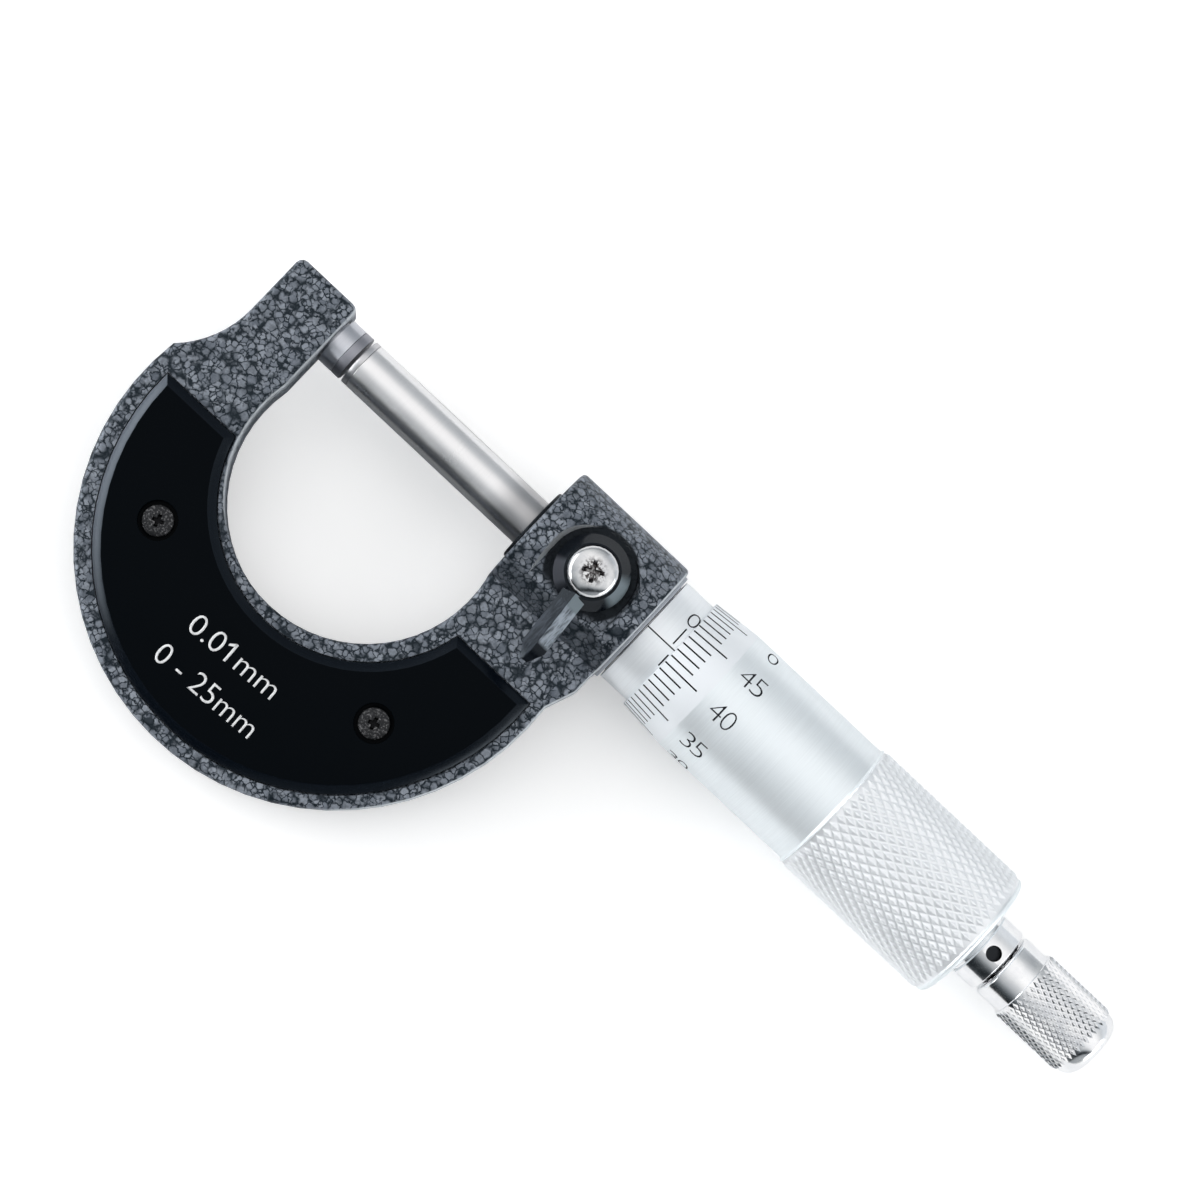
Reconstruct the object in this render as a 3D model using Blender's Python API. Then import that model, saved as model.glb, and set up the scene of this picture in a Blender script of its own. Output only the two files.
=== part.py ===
"""Outside micrometer for 0 to 25 mm, lying on its back.

X runs along the spindle from the anvil to the ratchet, Y from the ring up to the spindle,
and Z towards the front face. The origin is on the rear plate, in the middle of its face.
All sizes are in millimetres and are turned into metres where a mesh is made.
"""
import math

import bmesh
import bpy
from mathutils import Matrix, Vector

MM = 0.001

# Measuring range and screw
TRAVEL = 25.0
JAW_GAP = 0.415

# Clearances
PRESS_GAP = 0.05
RUNNING_GAP = 0.05
FACE_GAP = 0.06
PLATE_GAP = 0.15

# Frame: ring
RING_WALL = 14.675
RING_OFFSET = 6.5
RING_THICKNESS = 7.6
RING_ROUNDING = 0.8

# Frame: throat, with the anvil arm on its left
THROAT_LEFT = -18.05
THROAT_SWELL = 0.35
THROAT_DROP = 12.1
ARM_WIDTH = 9.55
ARM_RISE = 4.4
ARM_STRAIGHT = 4.5
ARM_CURVE_RADIUS = 13.5
CORNER_RADIUS = 1.0

# Frame: head and neck
HEAD_RADIUS = 9.0
HEAD_LENGTH = 18.2
HEAD_ROUNDING = 0.6
HEAD_STEP_RADIUS = 8.2
HEAD_STEP_LENGTH = 0.4
BOSS_RADIUS = 5.15
BOSS_LENGTH = 0.5
NECK_INSET = 0.15
NECK_DROP = 11.6
NECK_SLOPE = 3.9
SPINDLE_SPARE = 4.45

# Anvil and carbide tips
ROD_RADIUS = 3.25
ANVIL_LENGTH = 3.35
ANVIL_SHANK_RADIUS = 2.6
ANVIL_SHANK_LENGTH = 7.0
ANVIL_STANDOFF = 0.3
ANVIL_TIP_LENGTH = 1.25
SPINDLE_TIP_LENGTH = 0.8
TIP_GAP = 0.02

# Plates and their screws
PLATE_THICKNESS = 1.8
PLATE_POCKET = 0.8
PLATE_RIM_OUTSIDE = 2.15
PLATE_RIM_INSIDE = 1.45
PLATE_INNER_SHIFT = 1.0
PLATE_INNER_DROP = 0.3
PLATE_OUTER_SHIFT = 0.3
PLATE_TOP_LEFT = 17.3
PLATE_TOP_RIGHT = 16.5
PLATE_BEVEL = 1.1
PLATE_BEVEL_HEIGHT = 0.7
PLATE_SCREW_SPACING = 35.8
PLATE_SCREW_DROP = 31.1
PLATE_SCREW_HEAD_RADIUS = 2.0
PLATE_SCREW_HEAD_HEIGHT = 0.85
PLATE_SCREW_RADIUS = 1.2
PLATE_SCREW_LENGTH = 2.6
COUNTERBORE_GAP = 0.5
COUNTERBORE_DEPTH = 1.05
CROSS_WIDTH = 0.62

# Sleeve, nut and adjusting nut
SLEEVE_RADIUS = 7.8
SLEEVE_WALL = 0.85
SLEEVE_SHOWN = 4.0
SLEEVE_SEAM = 0.2
SLEEVE_OVERLAP = 6.3
NUT_SEAT_RADIUS = 6.0
NUT_STUD_GAP = 0.9
NUT_BORE_GAP = 0.75
NUT_THREAD_RADIUS = 3.6
NUT_THREAD_LENGTH = 11.0
NUT_END_LENGTH = 6.5
NUT_SLOT_WIDTH = 0.6
NUT_SLOT_LENGTH = 10.0
NUT_SLOTS = 3
ADJUSTER_WALL = 1.3
ADJUSTER_GAP = 0.15
ADJUSTER_LENGTH = 5.0
ADJUSTER_NOTCH = 1.2

# Spindle
THREAD_SPARE = 1.0
COLLAR_RADIUS = 4.4
COLLAR_LENGTH = 3.0
TAPER_LARGE_RADIUS = 4.0
TAPER_SMALL_RADIUS = 3.3
TAPER_LENGTH = 8.0

# Thimble, along X from its graduated edge
THIMBLE_BORE_GAP = 0.1
THIMBLE_EDGE_WALL = 0.57
THIMBLE_EDGE_CHAMFER = 0.08
THIMBLE_CONE_LENGTH = 6.4
THIMBLE_WALL = 1.17
THIMBLE_DRUM_LENGTH = 20.6
THIMBLE_END_ROOM = 4.5
KNURL_STEP = 0.35
KNURL_RISE = 0.42
KNURL_DEPTH = 0.32
KNURL_PITCH = 2.06
KNURL_ROWS = 11
KNURL_COUNT = 48
THIMBLE_END_ROUNDING = 0.75
THIMBLE_END_CONE = 0.55
THIMBLE_END_RADIUS = 4.7
THIMBLE_HOLE_RADIUS = 2.7

# Ratchet
RATCHET_NECKING = 0.45
RATCHET_NECKING_RADIUS = 4.2
RATCHET_COLLAR_RADIUS = 4.6
RATCHET_COLLAR_LENGTH = 3.2
RATCHET_SCREW_RADIUS = 1.5
RATCHET_SCREW_LENGTH = 6.0
SPANNER_HOLE_RADIUS = 1.0
SPANNER_HOLE_DEPTH = 1.6
RATCHET_PARTING = 0.45
RATCHET_TEETH = 12
RATCHET_TOOTH_HEIGHT = 0.55
RATCHET_TOOTH_INNER_RADIUS = 1.75
KNOB_CAVITY_RADIUS = 3.2
KNOB_NECK_RADIUS = 4.5
KNOB_NECK_LENGTH = 3.65
KNOB_NECK_CHAMFER = 0.35
KNOB_RADIUS = 5.0
KNOB_KNURL_DEPTH = 0.26
KNOB_KNURL_PITCH = 1.45
KNOB_KNURL_ROWS = 7
KNOB_KNURL_COUNT = 40
KNOB_END_ROUNDING = 2.0
KNOB_END_WALL = 2.4
KNOB_END_RECESS = 1.5
SHAFT_RADIUS = 1.5
CLICK_PLATE_THICKNESS = 0.9
SPRING_WIRE_RADIUS = 0.25
SPRING_RADIUS = 2.3
SPRING_TURNS = 6
RATCHET_SCREW_HEAD_RADIUS = 2.3
RATCHET_SCREW_HEAD_HEIGHT = 1.0
RATCHET_SCREW_SHANK_RADIUS = 0.8
RATCHET_SCREW_SHANK_LENGTH = 3.0

# Lock
LOCK_FLOOR = 7.4
LOCK_FLOOR_RADIUS = 5.6
LOCK_RIM_RADIUS = 6.15
LOCK_STUD_RADIUS = 2.5
LOCK_STUD_NECK_RADIUS = 2.0
LOCK_PAD_RADIUS = 2.0
LOCK_PAD_THICKNESS = 1.0
HUB_RADIUS = 4.75
HUB_SIDE = 0.9
HUB_TOP_RADIUS = 3.5
HUB_HEIGHT = 2.6
HUB_SEAT = 0.3
LEVER_ANGLE = 5.0
LEVER_LENGTH = 13.4
LEVER_WIDTH = 3.2
LEVER_UNDERSIDE = 8.7
LEVER_SIDE = 0.7
LEVER_RIDGE = 0.95
LEVER_NOSE = 2.0
LEVER_NOSE_WIDTH = 1.0
LOCK_SCREW_HEAD_RADIUS = 3.2
LOCK_SCREW_HEAD_HEIGHT = 1.5
LOCK_SCREW_RADIUS = 1.2
LOCK_SCREW_LENGTH = 3.2

# Facets
TURNED_SEGMENTS = 40
ROD_SEGMENTS = 32
SMALL_SEGMENTS = 24
SLEEVE_SEGMENTS = 60
ARC_STEPS = 32

# Places that follow from the sizes above, from the ring's centre line and the spindle's axis
ANVIL_FACE_X = THROAT_LEFT + ANVIL_STANDOFF + ANVIL_LENGTH
SPINDLE_FACE_X = ANVIL_FACE_X + JAW_GAP
BOSS_LEFT_X = ANVIL_FACE_X + TRAVEL + SPINDLE_SPARE
HEAD_LEFT_X = BOSS_LEFT_X + BOSS_LENGTH
HEAD_RIGHT_X = HEAD_LEFT_X + HEAD_LENGTH
HEAD_STEP_X = HEAD_RIGHT_X - HEAD_STEP_LENGTH
THROAT_RIGHT_X = HEAD_LEFT_X + NECK_INSET
THROAT_X = (THROAT_LEFT + THROAT_RIGHT_X) / 2
THROAT_RADIUS = (THROAT_RIGHT_X - THROAT_LEFT) / 2 + THROAT_SWELL
RING_RADIUS = THROAT_RADIUS + RING_WALL
RING_DROP = THROAT_DROP + RING_OFFSET
SLEEVE_LEFT_X = HEAD_RIGHT_X + SLEEVE_SEAM
ZERO_EDGE_X = SLEEVE_LEFT_X + SLEEVE_SHOWN
SLEEVE_RIGHT_X = ZERO_EDGE_X + TRAVEL + SLEEVE_OVERLAP
NUT_BODY_RADIUS = SLEEVE_RADIUS - SLEEVE_WALL - PRESS_GAP
NUT_BORE_RADIUS = ROD_RADIUS + NUT_BORE_GAP
ADJUSTER_RADIUS = SLEEVE_RADIUS - SLEEVE_WALL - ADJUSTER_GAP
NUT_END_RADIUS = ADJUSTER_RADIUS - ADJUSTER_WALL - PRESS_GAP
THIMBLE_EDGE_X = ZERO_EDGE_X + JAW_GAP
THIMBLE_EDGE_RADIUS = SLEEVE_RADIUS + THIMBLE_EDGE_WALL
THIMBLE_RADIUS = SLEEVE_RADIUS + THIMBLE_WALL
KNURL_RADIUS = THIMBLE_RADIUS + KNURL_RISE
THIMBLE_BORE_DEPTH = TRAVEL + SLEEVE_OVERLAP + THIMBLE_END_ROOM
PLATE_OUTER_RADIUS = RING_RADIUS - PLATE_RIM_OUTSIDE
PLATE_INNER_RADIUS = THROAT_RADIUS + PLATE_RIM_INSIDE
PLATE_FACE_Z = RING_THICKNESS / 2 - PLATE_POCKET + PLATE_THICKNESS
PLATE_BOTTOM_Y = -(RING_DROP + math.sqrt(PLATE_OUTER_RADIUS ** 2 - PLATE_OUTER_SHIFT ** 2))
PLATE_INNER_X = THROAT_X + PLATE_INNER_SHIFT
PLATE_TOP_Y = -(THROAT_DROP + PLATE_INNER_DROP + math.sqrt(PLATE_INNER_RADIUS ** 2 - PLATE_INNER_X ** 2))
LOCK_X = (HEAD_LEFT_X + HEAD_RIGHT_X) / 2
NUT_SEAT_DEPTH = HEAD_RIGHT_X - LOCK_X - LOCK_STUD_RADIUS - NUT_STUD_GAP
KNURL_LENGTH = KNURL_PITCH * KNURL_ROWS
KNOB_KNURL_LENGTH = KNOB_KNURL_PITCH * KNOB_KNURL_ROWS

# The spindle's axis as seen from the origin
AXIS = Vector((0, -(PLATE_BOTTOM_Y + PLATE_TOP_Y) / 2, PLATE_FACE_Z))


def clear_scene():
    for obj in list(bpy.data.objects):
        bpy.data.objects.remove(obj, do_unlink=True)


def make_material(name, color, roughness, metallic):
    mat = bpy.data.materials.new(name)
    mat.use_nodes = True
    shader = mat.node_tree.nodes["Principled BSDF"]
    shader.inputs["Base Color"].default_value = (*color, 1)
    shader.inputs["Roughness"].default_value = roughness
    shader.inputs["Metallic"].default_value = metallic
    mat.diffuse_color = (*color, 1)
    return mat


def make_empty(name, place, parent=None):
    """An empty at a place in millimetres, measured from its parent."""
    empty = bpy.data.objects.new(name, None)
    empty.location = Vector(place) * MM
    empty.parent = parent
    bpy.context.collection.objects.link(empty)
    return empty


def make_object(name, bm, mat=None, place=(0, 0, 0), parent=None, turn=0.0):
    """An object from a mesh in millimetres. Its normals are made to face outwards."""
    bmesh.ops.remove_doubles(bm, verts=bm.verts, dist=1e-5)
    bmesh.ops.recalc_face_normals(bm, faces=bm.faces)
    bmesh.ops.scale(bm, vec=(MM, MM, MM), verts=bm.verts)
    mesh = bpy.data.meshes.new(name)
    bm.to_mesh(mesh)
    bm.free()
    mesh.shade_smooth()
    mesh.set_sharp_from_angle(angle=math.radians(28))
    if mat:
        mesh.materials.append(mat)
    obj = bpy.data.objects.new(name, mesh)
    obj.location = Vector(place) * MM
    obj.rotation_euler.z = turn
    obj.parent = parent
    bpy.context.collection.objects.link(obj)
    return obj


def combine(obj, other, operation):
    """Joins another object to obj, or cuts it out of obj, with a live Boolean."""
    other.hide_render = True
    other.display_type = "WIRE"
    mod = obj.modifiers.new(other.name, "BOOLEAN")
    mod.object = other
    mod.operation = operation
    mod.solver = "EXACT"


def arc(center, radius, start, end, steps):
    """Points on an arc, with angles in degrees, both ends included."""
    points = []
    for i in range(steps + 1):
        angle = math.radians(start + (end - start) * i / steps)
        points.append((center[0] + radius * math.cos(angle), center[1] + radius * math.sin(angle)))
    return points


def rounded(corners, steps=3):
    """A closed outline whose corners (x, y, radius) are replaced by arcs."""
    points = []
    count = len(corners)
    for i, corner in enumerate(corners):
        here = Vector(corner[:2])
        radius = corner[2] if len(corner) > 2 else 0
        if not radius:
            points.append(tuple(here))
            continue
        back = (Vector(corners[i - 1][:2]) - here).normalized()
        ahead = (Vector(corners[(i + 1) % count][:2]) - here).normalized()
        half = back.angle(ahead) / 2
        middle = here + (back + ahead).normalized() * radius / math.sin(half)
        first = here + back * radius / math.tan(half) - middle
        last = here + ahead * radius / math.tan(half) - middle
        sweep = first.angle_signed(last)
        for k in range(steps + 1):
            turned_arm = Matrix.Rotation(-sweep * k / steps, 2) @ first
            points.append(tuple(middle + turned_arm))
    return points


def inset_outline(points, distance):
    """A closed counterclockwise outline moved inwards, point by point."""
    moved = []
    count = len(points)
    for i in range(count):
        here = Vector(points[i])
        into = (here - Vector(points[i - 1])).normalized()
        out = (Vector(points[(i + 1) % count]) - here).normalized()
        normal_in = Vector((-into.y, into.x))
        normal_out = Vector((-out.y, out.x))
        across = (normal_in + normal_out).normalized()
        moved.append(tuple(here + across * distance / across.dot(normal_in)))
    return moved


def loft(loops):
    """A closed solid through loops of equal length, capped at both ends."""
    bm = bmesh.new()
    rings = [[bm.verts.new(p) for p in loop] for loop in loops]
    for low, high in zip(rings, rings[1:]):
        for i in range(len(low)):
            j = (i + 1) % len(low)
            bm.faces.new((low[i], low[j], high[j], high[i]))
    bm.faces.new(rings[0][::-1])
    bm.faces.new(rings[-1])
    return bm


def at_height(points, z):
    return [(x, y, z) for x, y in points]


def ring_points(x, radius, count, phase=0.0):
    """Points on a circle about the X axis."""
    points = []
    for i in range(count):
        angle = 2 * math.pi * (i + phase) / count
        points.append((x, radius * math.cos(angle), radius * math.sin(angle)))
    return points


def turned(profile, segments=TURNED_SEGMENTS):
    """A solid of revolution about the X axis from (x, radius) points.

    An open profile starts and ends on the axis. A closed one is the section of a hollow piece.
    """
    bm = bmesh.new()
    on_axis = profile[0][1] == 0 and profile[-1][1] == 0
    rings = []
    for x, radius in profile:
        if radius == 0:
            rings.append([bm.verts.new((x, 0, 0))])
        else:
            rings.append([bm.verts.new(p) for p in ring_points(x, radius, segments)])
    pairs = list(zip(rings, rings[1:]))
    if not on_axis:
        pairs.append((rings[-1], rings[0]))
    for a, b in pairs:
        for i in range(segments):
            j = (i + 1) % segments
            if len(a) == 1:
                bm.faces.new((a[0], b[i], b[j]))
            elif len(b) == 1:
                bm.faces.new((a[i], b[0], a[j]))
            else:
                bm.faces.new((a[i], b[i], b[j], a[j]))
    return bm


def upright(bm):
    """Turns a solid made about X so that it stands along Z, with its start at the bottom."""
    bmesh.ops.rotate(bm, matrix=Matrix.Rotation(-math.pi / 2, 3, "Y"), verts=bm.verts)
    return bm


def box(x, y, z):
    """A box from its (low, high) pairs."""
    bm = bmesh.new()
    bmesh.ops.create_cube(bm, size=1)
    for v in bm.verts:
        v.co.x = x[0] if v.co.x < 0 else x[1]
        v.co.y = y[0] if v.co.y < 0 else y[1]
        v.co.z = z[0] if v.co.z < 0 else z[1]
    return bm


def knurled(before, knurl, after):
    """A turned hollow piece with a diamond knurl between two stretches of plain profile.

    knurl is (start x, pitch, rows, count around, valley radius, depth). Each diamond is a
    low pyramid, and neighbouring columns of pyramids are staggered by half a pitch. The
    profile runs through before, over the knurl and through after, and closes on itself.
    """
    start, pitch, rows, around, valley, depth = knurl
    bm = bmesh.new()
    columns = []
    peaks = []
    last = 2 * rows
    for k in range(last + 1):
        x = start + pitch * k / 2
        phase = 0.5 * (k % 2)
        columns.append([bm.verts.new(p) for p in ring_points(x, valley, around, phase)])
        if 0 < k < last:
            peaks.append([bm.verts.new(p) for p in ring_points(x, valley + depth, around, 0.5 - phase)])
        else:
            peaks.append(None)
    for k in range(1, last):
        odd = k % 2
        for i in range(around):
            low = columns[k][(i - odd) % around]
            high = columns[k][(i + 1 - odd) % around]
            left = columns[k - 1][i]
            right = columns[k + 1][i]
            peak = peaks[k][i]
            bm.faces.new((peak, low, left))
            bm.faces.new((peak, right, low))
            bm.faces.new((peak, high, right))
            bm.faces.new((peak, left, high))
    for i in range(around):
        j = (i + 1) % around
        bm.faces.new((columns[0][i], columns[1][i], columns[0][j]))
        bm.faces.new((columns[last][i], columns[last][j], columns[last - 1][i]))
    chain = [columns[last]]
    chain += [[bm.verts.new(p) for p in ring_points(x, r, around)] for x, r in after + before]
    chain.append(columns[0])
    for a, b in zip(chain, chain[1:]):
        for i in range(around):
            j = (i + 1) % around
            bm.faces.new((a[i], b[i], b[j], a[j]))
    return bm


def frame_outline():
    """The frame's outline without the head, counterclockwise."""
    arm_left = THROAT_LEFT - ARM_WIDTH
    neck_left = THROAT_RIGHT_X
    neck_right = HEAD_STEP_X - NECK_INSET
    ring = (0, -RING_DROP)
    throat = (THROAT_X, -THROAT_DROP)
    shoulder_y = -(NECK_DROP + NECK_SLOPE)
    shoulder = math.degrees(math.asin((shoulder_y + RING_DROP) / RING_RADIUS))
    # the concave curve leaves the arm's straight side and ends on the ring
    curve = (arm_left - ARM_CURVE_RADIUS, -ARM_STRAIGHT)
    reach = math.hypot(curve[0] - ring[0], curve[1] - ring[1])
    to_curve = math.degrees(math.atan2(curve[1] - ring[1], curve[0] - ring[0]))
    span = (RING_RADIUS ** 2 + reach ** 2 - ARM_CURVE_RADIUS ** 2) / (2 * RING_RADIUS * reach)
    corner = to_curve + math.degrees(math.acos(span))
    corner_x = ring[0] + RING_RADIUS * math.cos(math.radians(corner))
    corner_y = ring[1] + RING_RADIUS * math.sin(math.radians(corner))
    curve_end = math.degrees(math.atan2(corner_y - curve[1], corner_x - curve[0]))
    swell = math.degrees(math.acos((THROAT_RIGHT_X - THROAT_X) / THROAT_RADIUS))
    arm_top = rounded([
        (arm_left, -ARM_STRAIGHT),
        (THROAT_LEFT, -ARM_STRAIGHT),
        (THROAT_LEFT, ARM_RISE, CORNER_RADIUS),
        (arm_left, ARM_RISE, CORNER_RADIUS),
    ])[2:]
    neck_corner = rounded([
        (neck_right, 0),
        (neck_left, 0),
        (RING_RADIUS * math.cos(math.radians(shoulder)), shoulder_y),
        (neck_right, -NECK_DROP, CORNER_RADIUS),
    ])[3:]
    points = arc(curve, ARM_CURVE_RADIUS, 0, curve_end, 8)
    points += arc(ring, RING_RADIUS, corner, 360 + shoulder, ARC_STEPS)[1:]
    points += neck_corner
    points += [(neck_right, 0), (neck_left, 0)]
    points += arc(throat, THROAT_RADIUS, swell, -180 - swell, ARC_STEPS)
    points += arm_top
    return points


def plate_outline(inset=0.0, gap=0.0):
    """The plate's outer and inner edges from left to right, moved inwards by inset or outwards by gap."""
    move = inset - gap
    outer = PLATE_OUTER_RADIUS - move
    inner = PLATE_INNER_RADIUS + move
    left = -PLATE_TOP_LEFT - move
    right = -PLATE_TOP_RIGHT - move

    def angle(radius, drop, y, side):
        raised = math.degrees(math.asin((y + drop) / radius))
        return raised if side > 0 else -180 - raised

    outside = arc((PLATE_OUTER_SHIFT, -RING_DROP), outer, angle(outer, RING_DROP, left, -1),
                  angle(outer, RING_DROP, right, 1), ARC_STEPS)
    drop = THROAT_DROP + PLATE_INNER_DROP
    inside = arc((THROAT_X + PLATE_INNER_SHIFT, -drop), inner, angle(inner, drop, left, -1),
                 angle(inner, drop, right, 1), ARC_STEPS)
    return outside, inside


def strip_solid(layers):
    """A solid from (outside, inside, z) layers of a curved strip, with quads on its end faces."""
    bm = bmesh.new()
    made = []
    for outside, inside, z in layers:
        out = [bm.verts.new((x, y, z)) for x, y in outside]
        into = [bm.verts.new((x, y, z)) for x, y in inside]
        made.append((out, into))
    for (low_out, low_in), (high_out, high_in) in zip(made, made[1:]):
        low = low_out + low_in[::-1]
        high = high_out + high_in[::-1]
        for i in range(len(low)):
            j = (i + 1) % len(low)
            bm.faces.new((low[i], low[j], high[j], high[i]))
    for out, into in (made[0], made[-1]):
        for i in range(len(out) - 1):
            bm.faces.new((out[i], out[i + 1], into[i + 1], into[i]))
    return bm


def make_frame(parent, mat):
    half = RING_THICKNESS / 2
    outline = frame_outline()
    loops = []
    for side in (-1, 1):
        steps = [i * math.pi / 6 for i in range(4)]
        for angle in steps if side < 0 else reversed(steps):
            inset = RING_ROUNDING * (1 - math.sin(angle))
            height = side * (half - RING_ROUNDING * (1 - math.cos(angle)))
            loops.append(at_height(inset_outline(outline, inset), height))
    frame = make_object("frame", loft(loops), mat, parent=parent)
    head = make_object("head_form", turned(
        [(BOSS_LEFT_X, 0)]
        + rounded([
            (BOSS_LEFT_X, 0), (BOSS_LEFT_X, BOSS_RADIUS, 0.25), (HEAD_LEFT_X, BOSS_RADIUS),
            (HEAD_LEFT_X, HEAD_RADIUS, HEAD_ROUNDING), (HEAD_STEP_X, HEAD_RADIUS, HEAD_ROUNDING),
            (HEAD_STEP_X, HEAD_STEP_RADIUS), (HEAD_RIGHT_X, HEAD_STEP_RADIUS, 0.15), (HEAD_RIGHT_X, 0),
        ])[1:-1]
        + [(HEAD_RIGHT_X, 0)]), parent=parent)
    combine(frame, head, "UNION")

    bore = RUNNING_GAP + ROD_RADIUS
    seat = NUT_SEAT_RADIUS + PRESS_GAP
    seat_x = HEAD_RIGHT_X - NUT_SEAT_DEPTH - FACE_GAP
    bores = make_object("head_bores", turned([
        (BOSS_LEFT_X - 1, 0), (BOSS_LEFT_X - 1, bore), (seat_x, bore), (seat_x, seat),
        (HEAD_RIGHT_X + 1, seat), (HEAD_RIGHT_X + 1, 0),
    ]), parent=parent)
    combine(frame, bores, "DIFFERENCE")
    shank = ANVIL_SHANK_RADIUS + PRESS_GAP
    bottom = THROAT_LEFT - ANVIL_SHANK_LENGTH - FACE_GAP
    anvil_bore = make_object("anvil_bore", turned([
        (bottom, 0), (bottom, shank), (THROAT_LEFT + 1, shank), (THROAT_LEFT + 1, 0),
    ], SMALL_SEGMENTS), parent=parent)
    combine(frame, anvil_bore, "DIFFERENCE")

    for name, side in (("front", 1), ("rear", -1)):
        floor = side * (half - PLATE_POCKET)
        outside, inside = plate_outline(gap=PLATE_GAP)
        pocket = strip_solid([(outside, inside, floor), (outside, inside, side * (half + 1))])
        combine(frame, make_object(f"{name}_pocket", pocket, parent=parent), "DIFFERENCE")
        for x in (-PLATE_SCREW_SPACING / 2, PLATE_SCREW_SPACING / 2):
            depth = PLATE_SCREW_LENGTH - (PLATE_THICKNESS - COUNTERBORE_DEPTH) + FACE_GAP * 2
            hole = upright(turned(plain_rod(-depth, 1, PLATE_SCREW_RADIUS + PRESS_GAP), 12))
            if side < 0:
                bmesh.ops.rotate(hole, matrix=Matrix.Rotation(math.pi, 3, "X"), verts=hole.verts)
            place = (x, -PLATE_SCREW_DROP, floor)
            combine(frame, make_object(f"{name}_screw_hole_{x:.0f}", hole, place=place, parent=parent), "DIFFERENCE")

    combine(frame, make_object("lock_recess", lock_recess(), place=(LOCK_X, 0, 0), parent=parent), "DIFFERENCE")
    stud_hole = upright(turned(plain_rod(ROD_RADIUS - 1, LOCK_FLOOR + 1, LOCK_STUD_RADIUS + PRESS_GAP), SMALL_SEGMENTS))
    combine(frame, make_object("lock_hole", stud_hole, place=(LOCK_X, 0, 0), parent=parent), "DIFFERENCE")
    return frame


def plain_rod(start, end, radius, chamfer=0.0):
    """The profile of a plain rod, with a chamfer at both ends."""
    if not chamfer:
        return [(start, 0), (start, radius), (end, radius), (end, 0)]
    return [
        (start, 0), (start, radius - chamfer), (start + chamfer, radius),
        (end - chamfer, radius), (end, radius - chamfer), (end, 0),
    ]


def lock_recess():
    """The flat recess round the lock, half round at the top and open towards the ring."""
    loops = []
    rise = HEAD_RADIUS + 1 - LOCK_FLOOR
    draft = (LOCK_RIM_RADIUS - LOCK_FLOOR_RADIUS) / (HEAD_RADIUS - LOCK_FLOOR)
    for z, radius in ((LOCK_FLOOR, LOCK_FLOOR_RADIUS), (LOCK_FLOOR + rise, LOCK_FLOOR_RADIUS + draft * rise)):
        points = arc((0, 0), radius, 0, 180, 20)
        points += [(-radius, -HEAD_RADIUS - 1), (radius, -HEAD_RADIUS - 1)]
        loops.append(at_height(points, z))
    return loft(loops)


def make_plate(name, side, parent, mat):
    """A black plate, bevelled round its face, with a counterbored hole for each screw."""
    base = RING_THICKNESS / 2 - PLATE_POCKET + FACE_GAP
    face = PLATE_FACE_Z
    edge = plate_outline()
    top = plate_outline(inset=PLATE_BEVEL)
    layers = [(*edge, side * base), (*edge, side * (face - PLATE_BEVEL_HEIGHT)), (*top, side * face)]
    plate = make_object(name, strip_solid(layers), mat, parent=parent)
    floor = PLATE_THICKNESS - COUNTERBORE_DEPTH
    wide = PLATE_SCREW_HEAD_RADIUS + COUNTERBORE_GAP
    narrow = PLATE_SCREW_RADIUS + COUNTERBORE_GAP / 2
    for x in (-PLATE_SCREW_SPACING / 2, PLATE_SCREW_SPACING / 2):
        hole = upright(turned([
            (-1, 0), (-1, narrow), (floor, narrow), (floor, wide),
            (PLATE_THICKNESS + 1, wide), (PLATE_THICKNESS + 1, 0),
        ], SMALL_SEGMENTS))
        if side < 0:
            bmesh.ops.rotate(hole, matrix=Matrix.Rotation(math.pi, 3, "X"), verts=hole.verts)
        place = (x, -PLATE_SCREW_DROP, side * (face - PLATE_THICKNESS))
        combine(plate, make_object(f"{name}_hole_{x:.0f}", hole, place=place, parent=parent), "DIFFERENCE")


def cross_cutter(width, reach, depth, top):
    """A tapered cross for a screw head's recess, with its top at a height along Z."""
    loops = []
    for z, length, half in ((top - depth, reach * 0.5, width * 0.3), (top + 0.5, reach, width / 2)):
        corners = []
        for turn in range(4):
            quarter = Matrix.Rotation(turn * math.pi / 2, 2)
            for corner in ((length, -half), (length, half), (half, half)):
                corners.append(tuple(quarter @ Vector(corner)))
        loops.append(at_height(corners, z))
    return loft(loops)


def make_screw(name, head_radius, head_height, dome, shank_radius, shank_length, parent, mat, place, side=1,
               turn=0.3):
    """A cross-head screw that stands along Z, with the underside of its head at its place."""
    profile = [(-shank_length, 0), (-shank_length, shank_radius - 0.2), (-shank_length + 0.2, shank_radius),
               (0, shank_radius), (0, head_radius)]
    steps = 4
    side_height = head_height - dome
    for i in range(steps):
        angle = math.pi / 2 * i / steps
        profile.append((side_height + dome * math.sin(angle), head_radius * math.cos(angle) ** 0.6))
    profile.append((head_height, 0))
    bm = upright(turned(profile, SMALL_SEGMENTS))
    cutter = cross_cutter(CROSS_WIDTH, head_radius * 0.55, head_height * 0.65, head_height)
    for mesh in (bm, cutter):
        bmesh.ops.rotate(mesh, matrix=Matrix.Rotation(turn, 3, "Z"), verts=mesh.verts)
        if side < 0:
            bmesh.ops.rotate(mesh, matrix=Matrix.Rotation(math.pi, 3, "X"), verts=mesh.verts)
    screw = make_object(name, bm, mat, place=place, parent=parent)
    combine(screw, make_object(f"{name}_cross", cutter, place=place, parent=parent), "DIFFERENCE")


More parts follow.
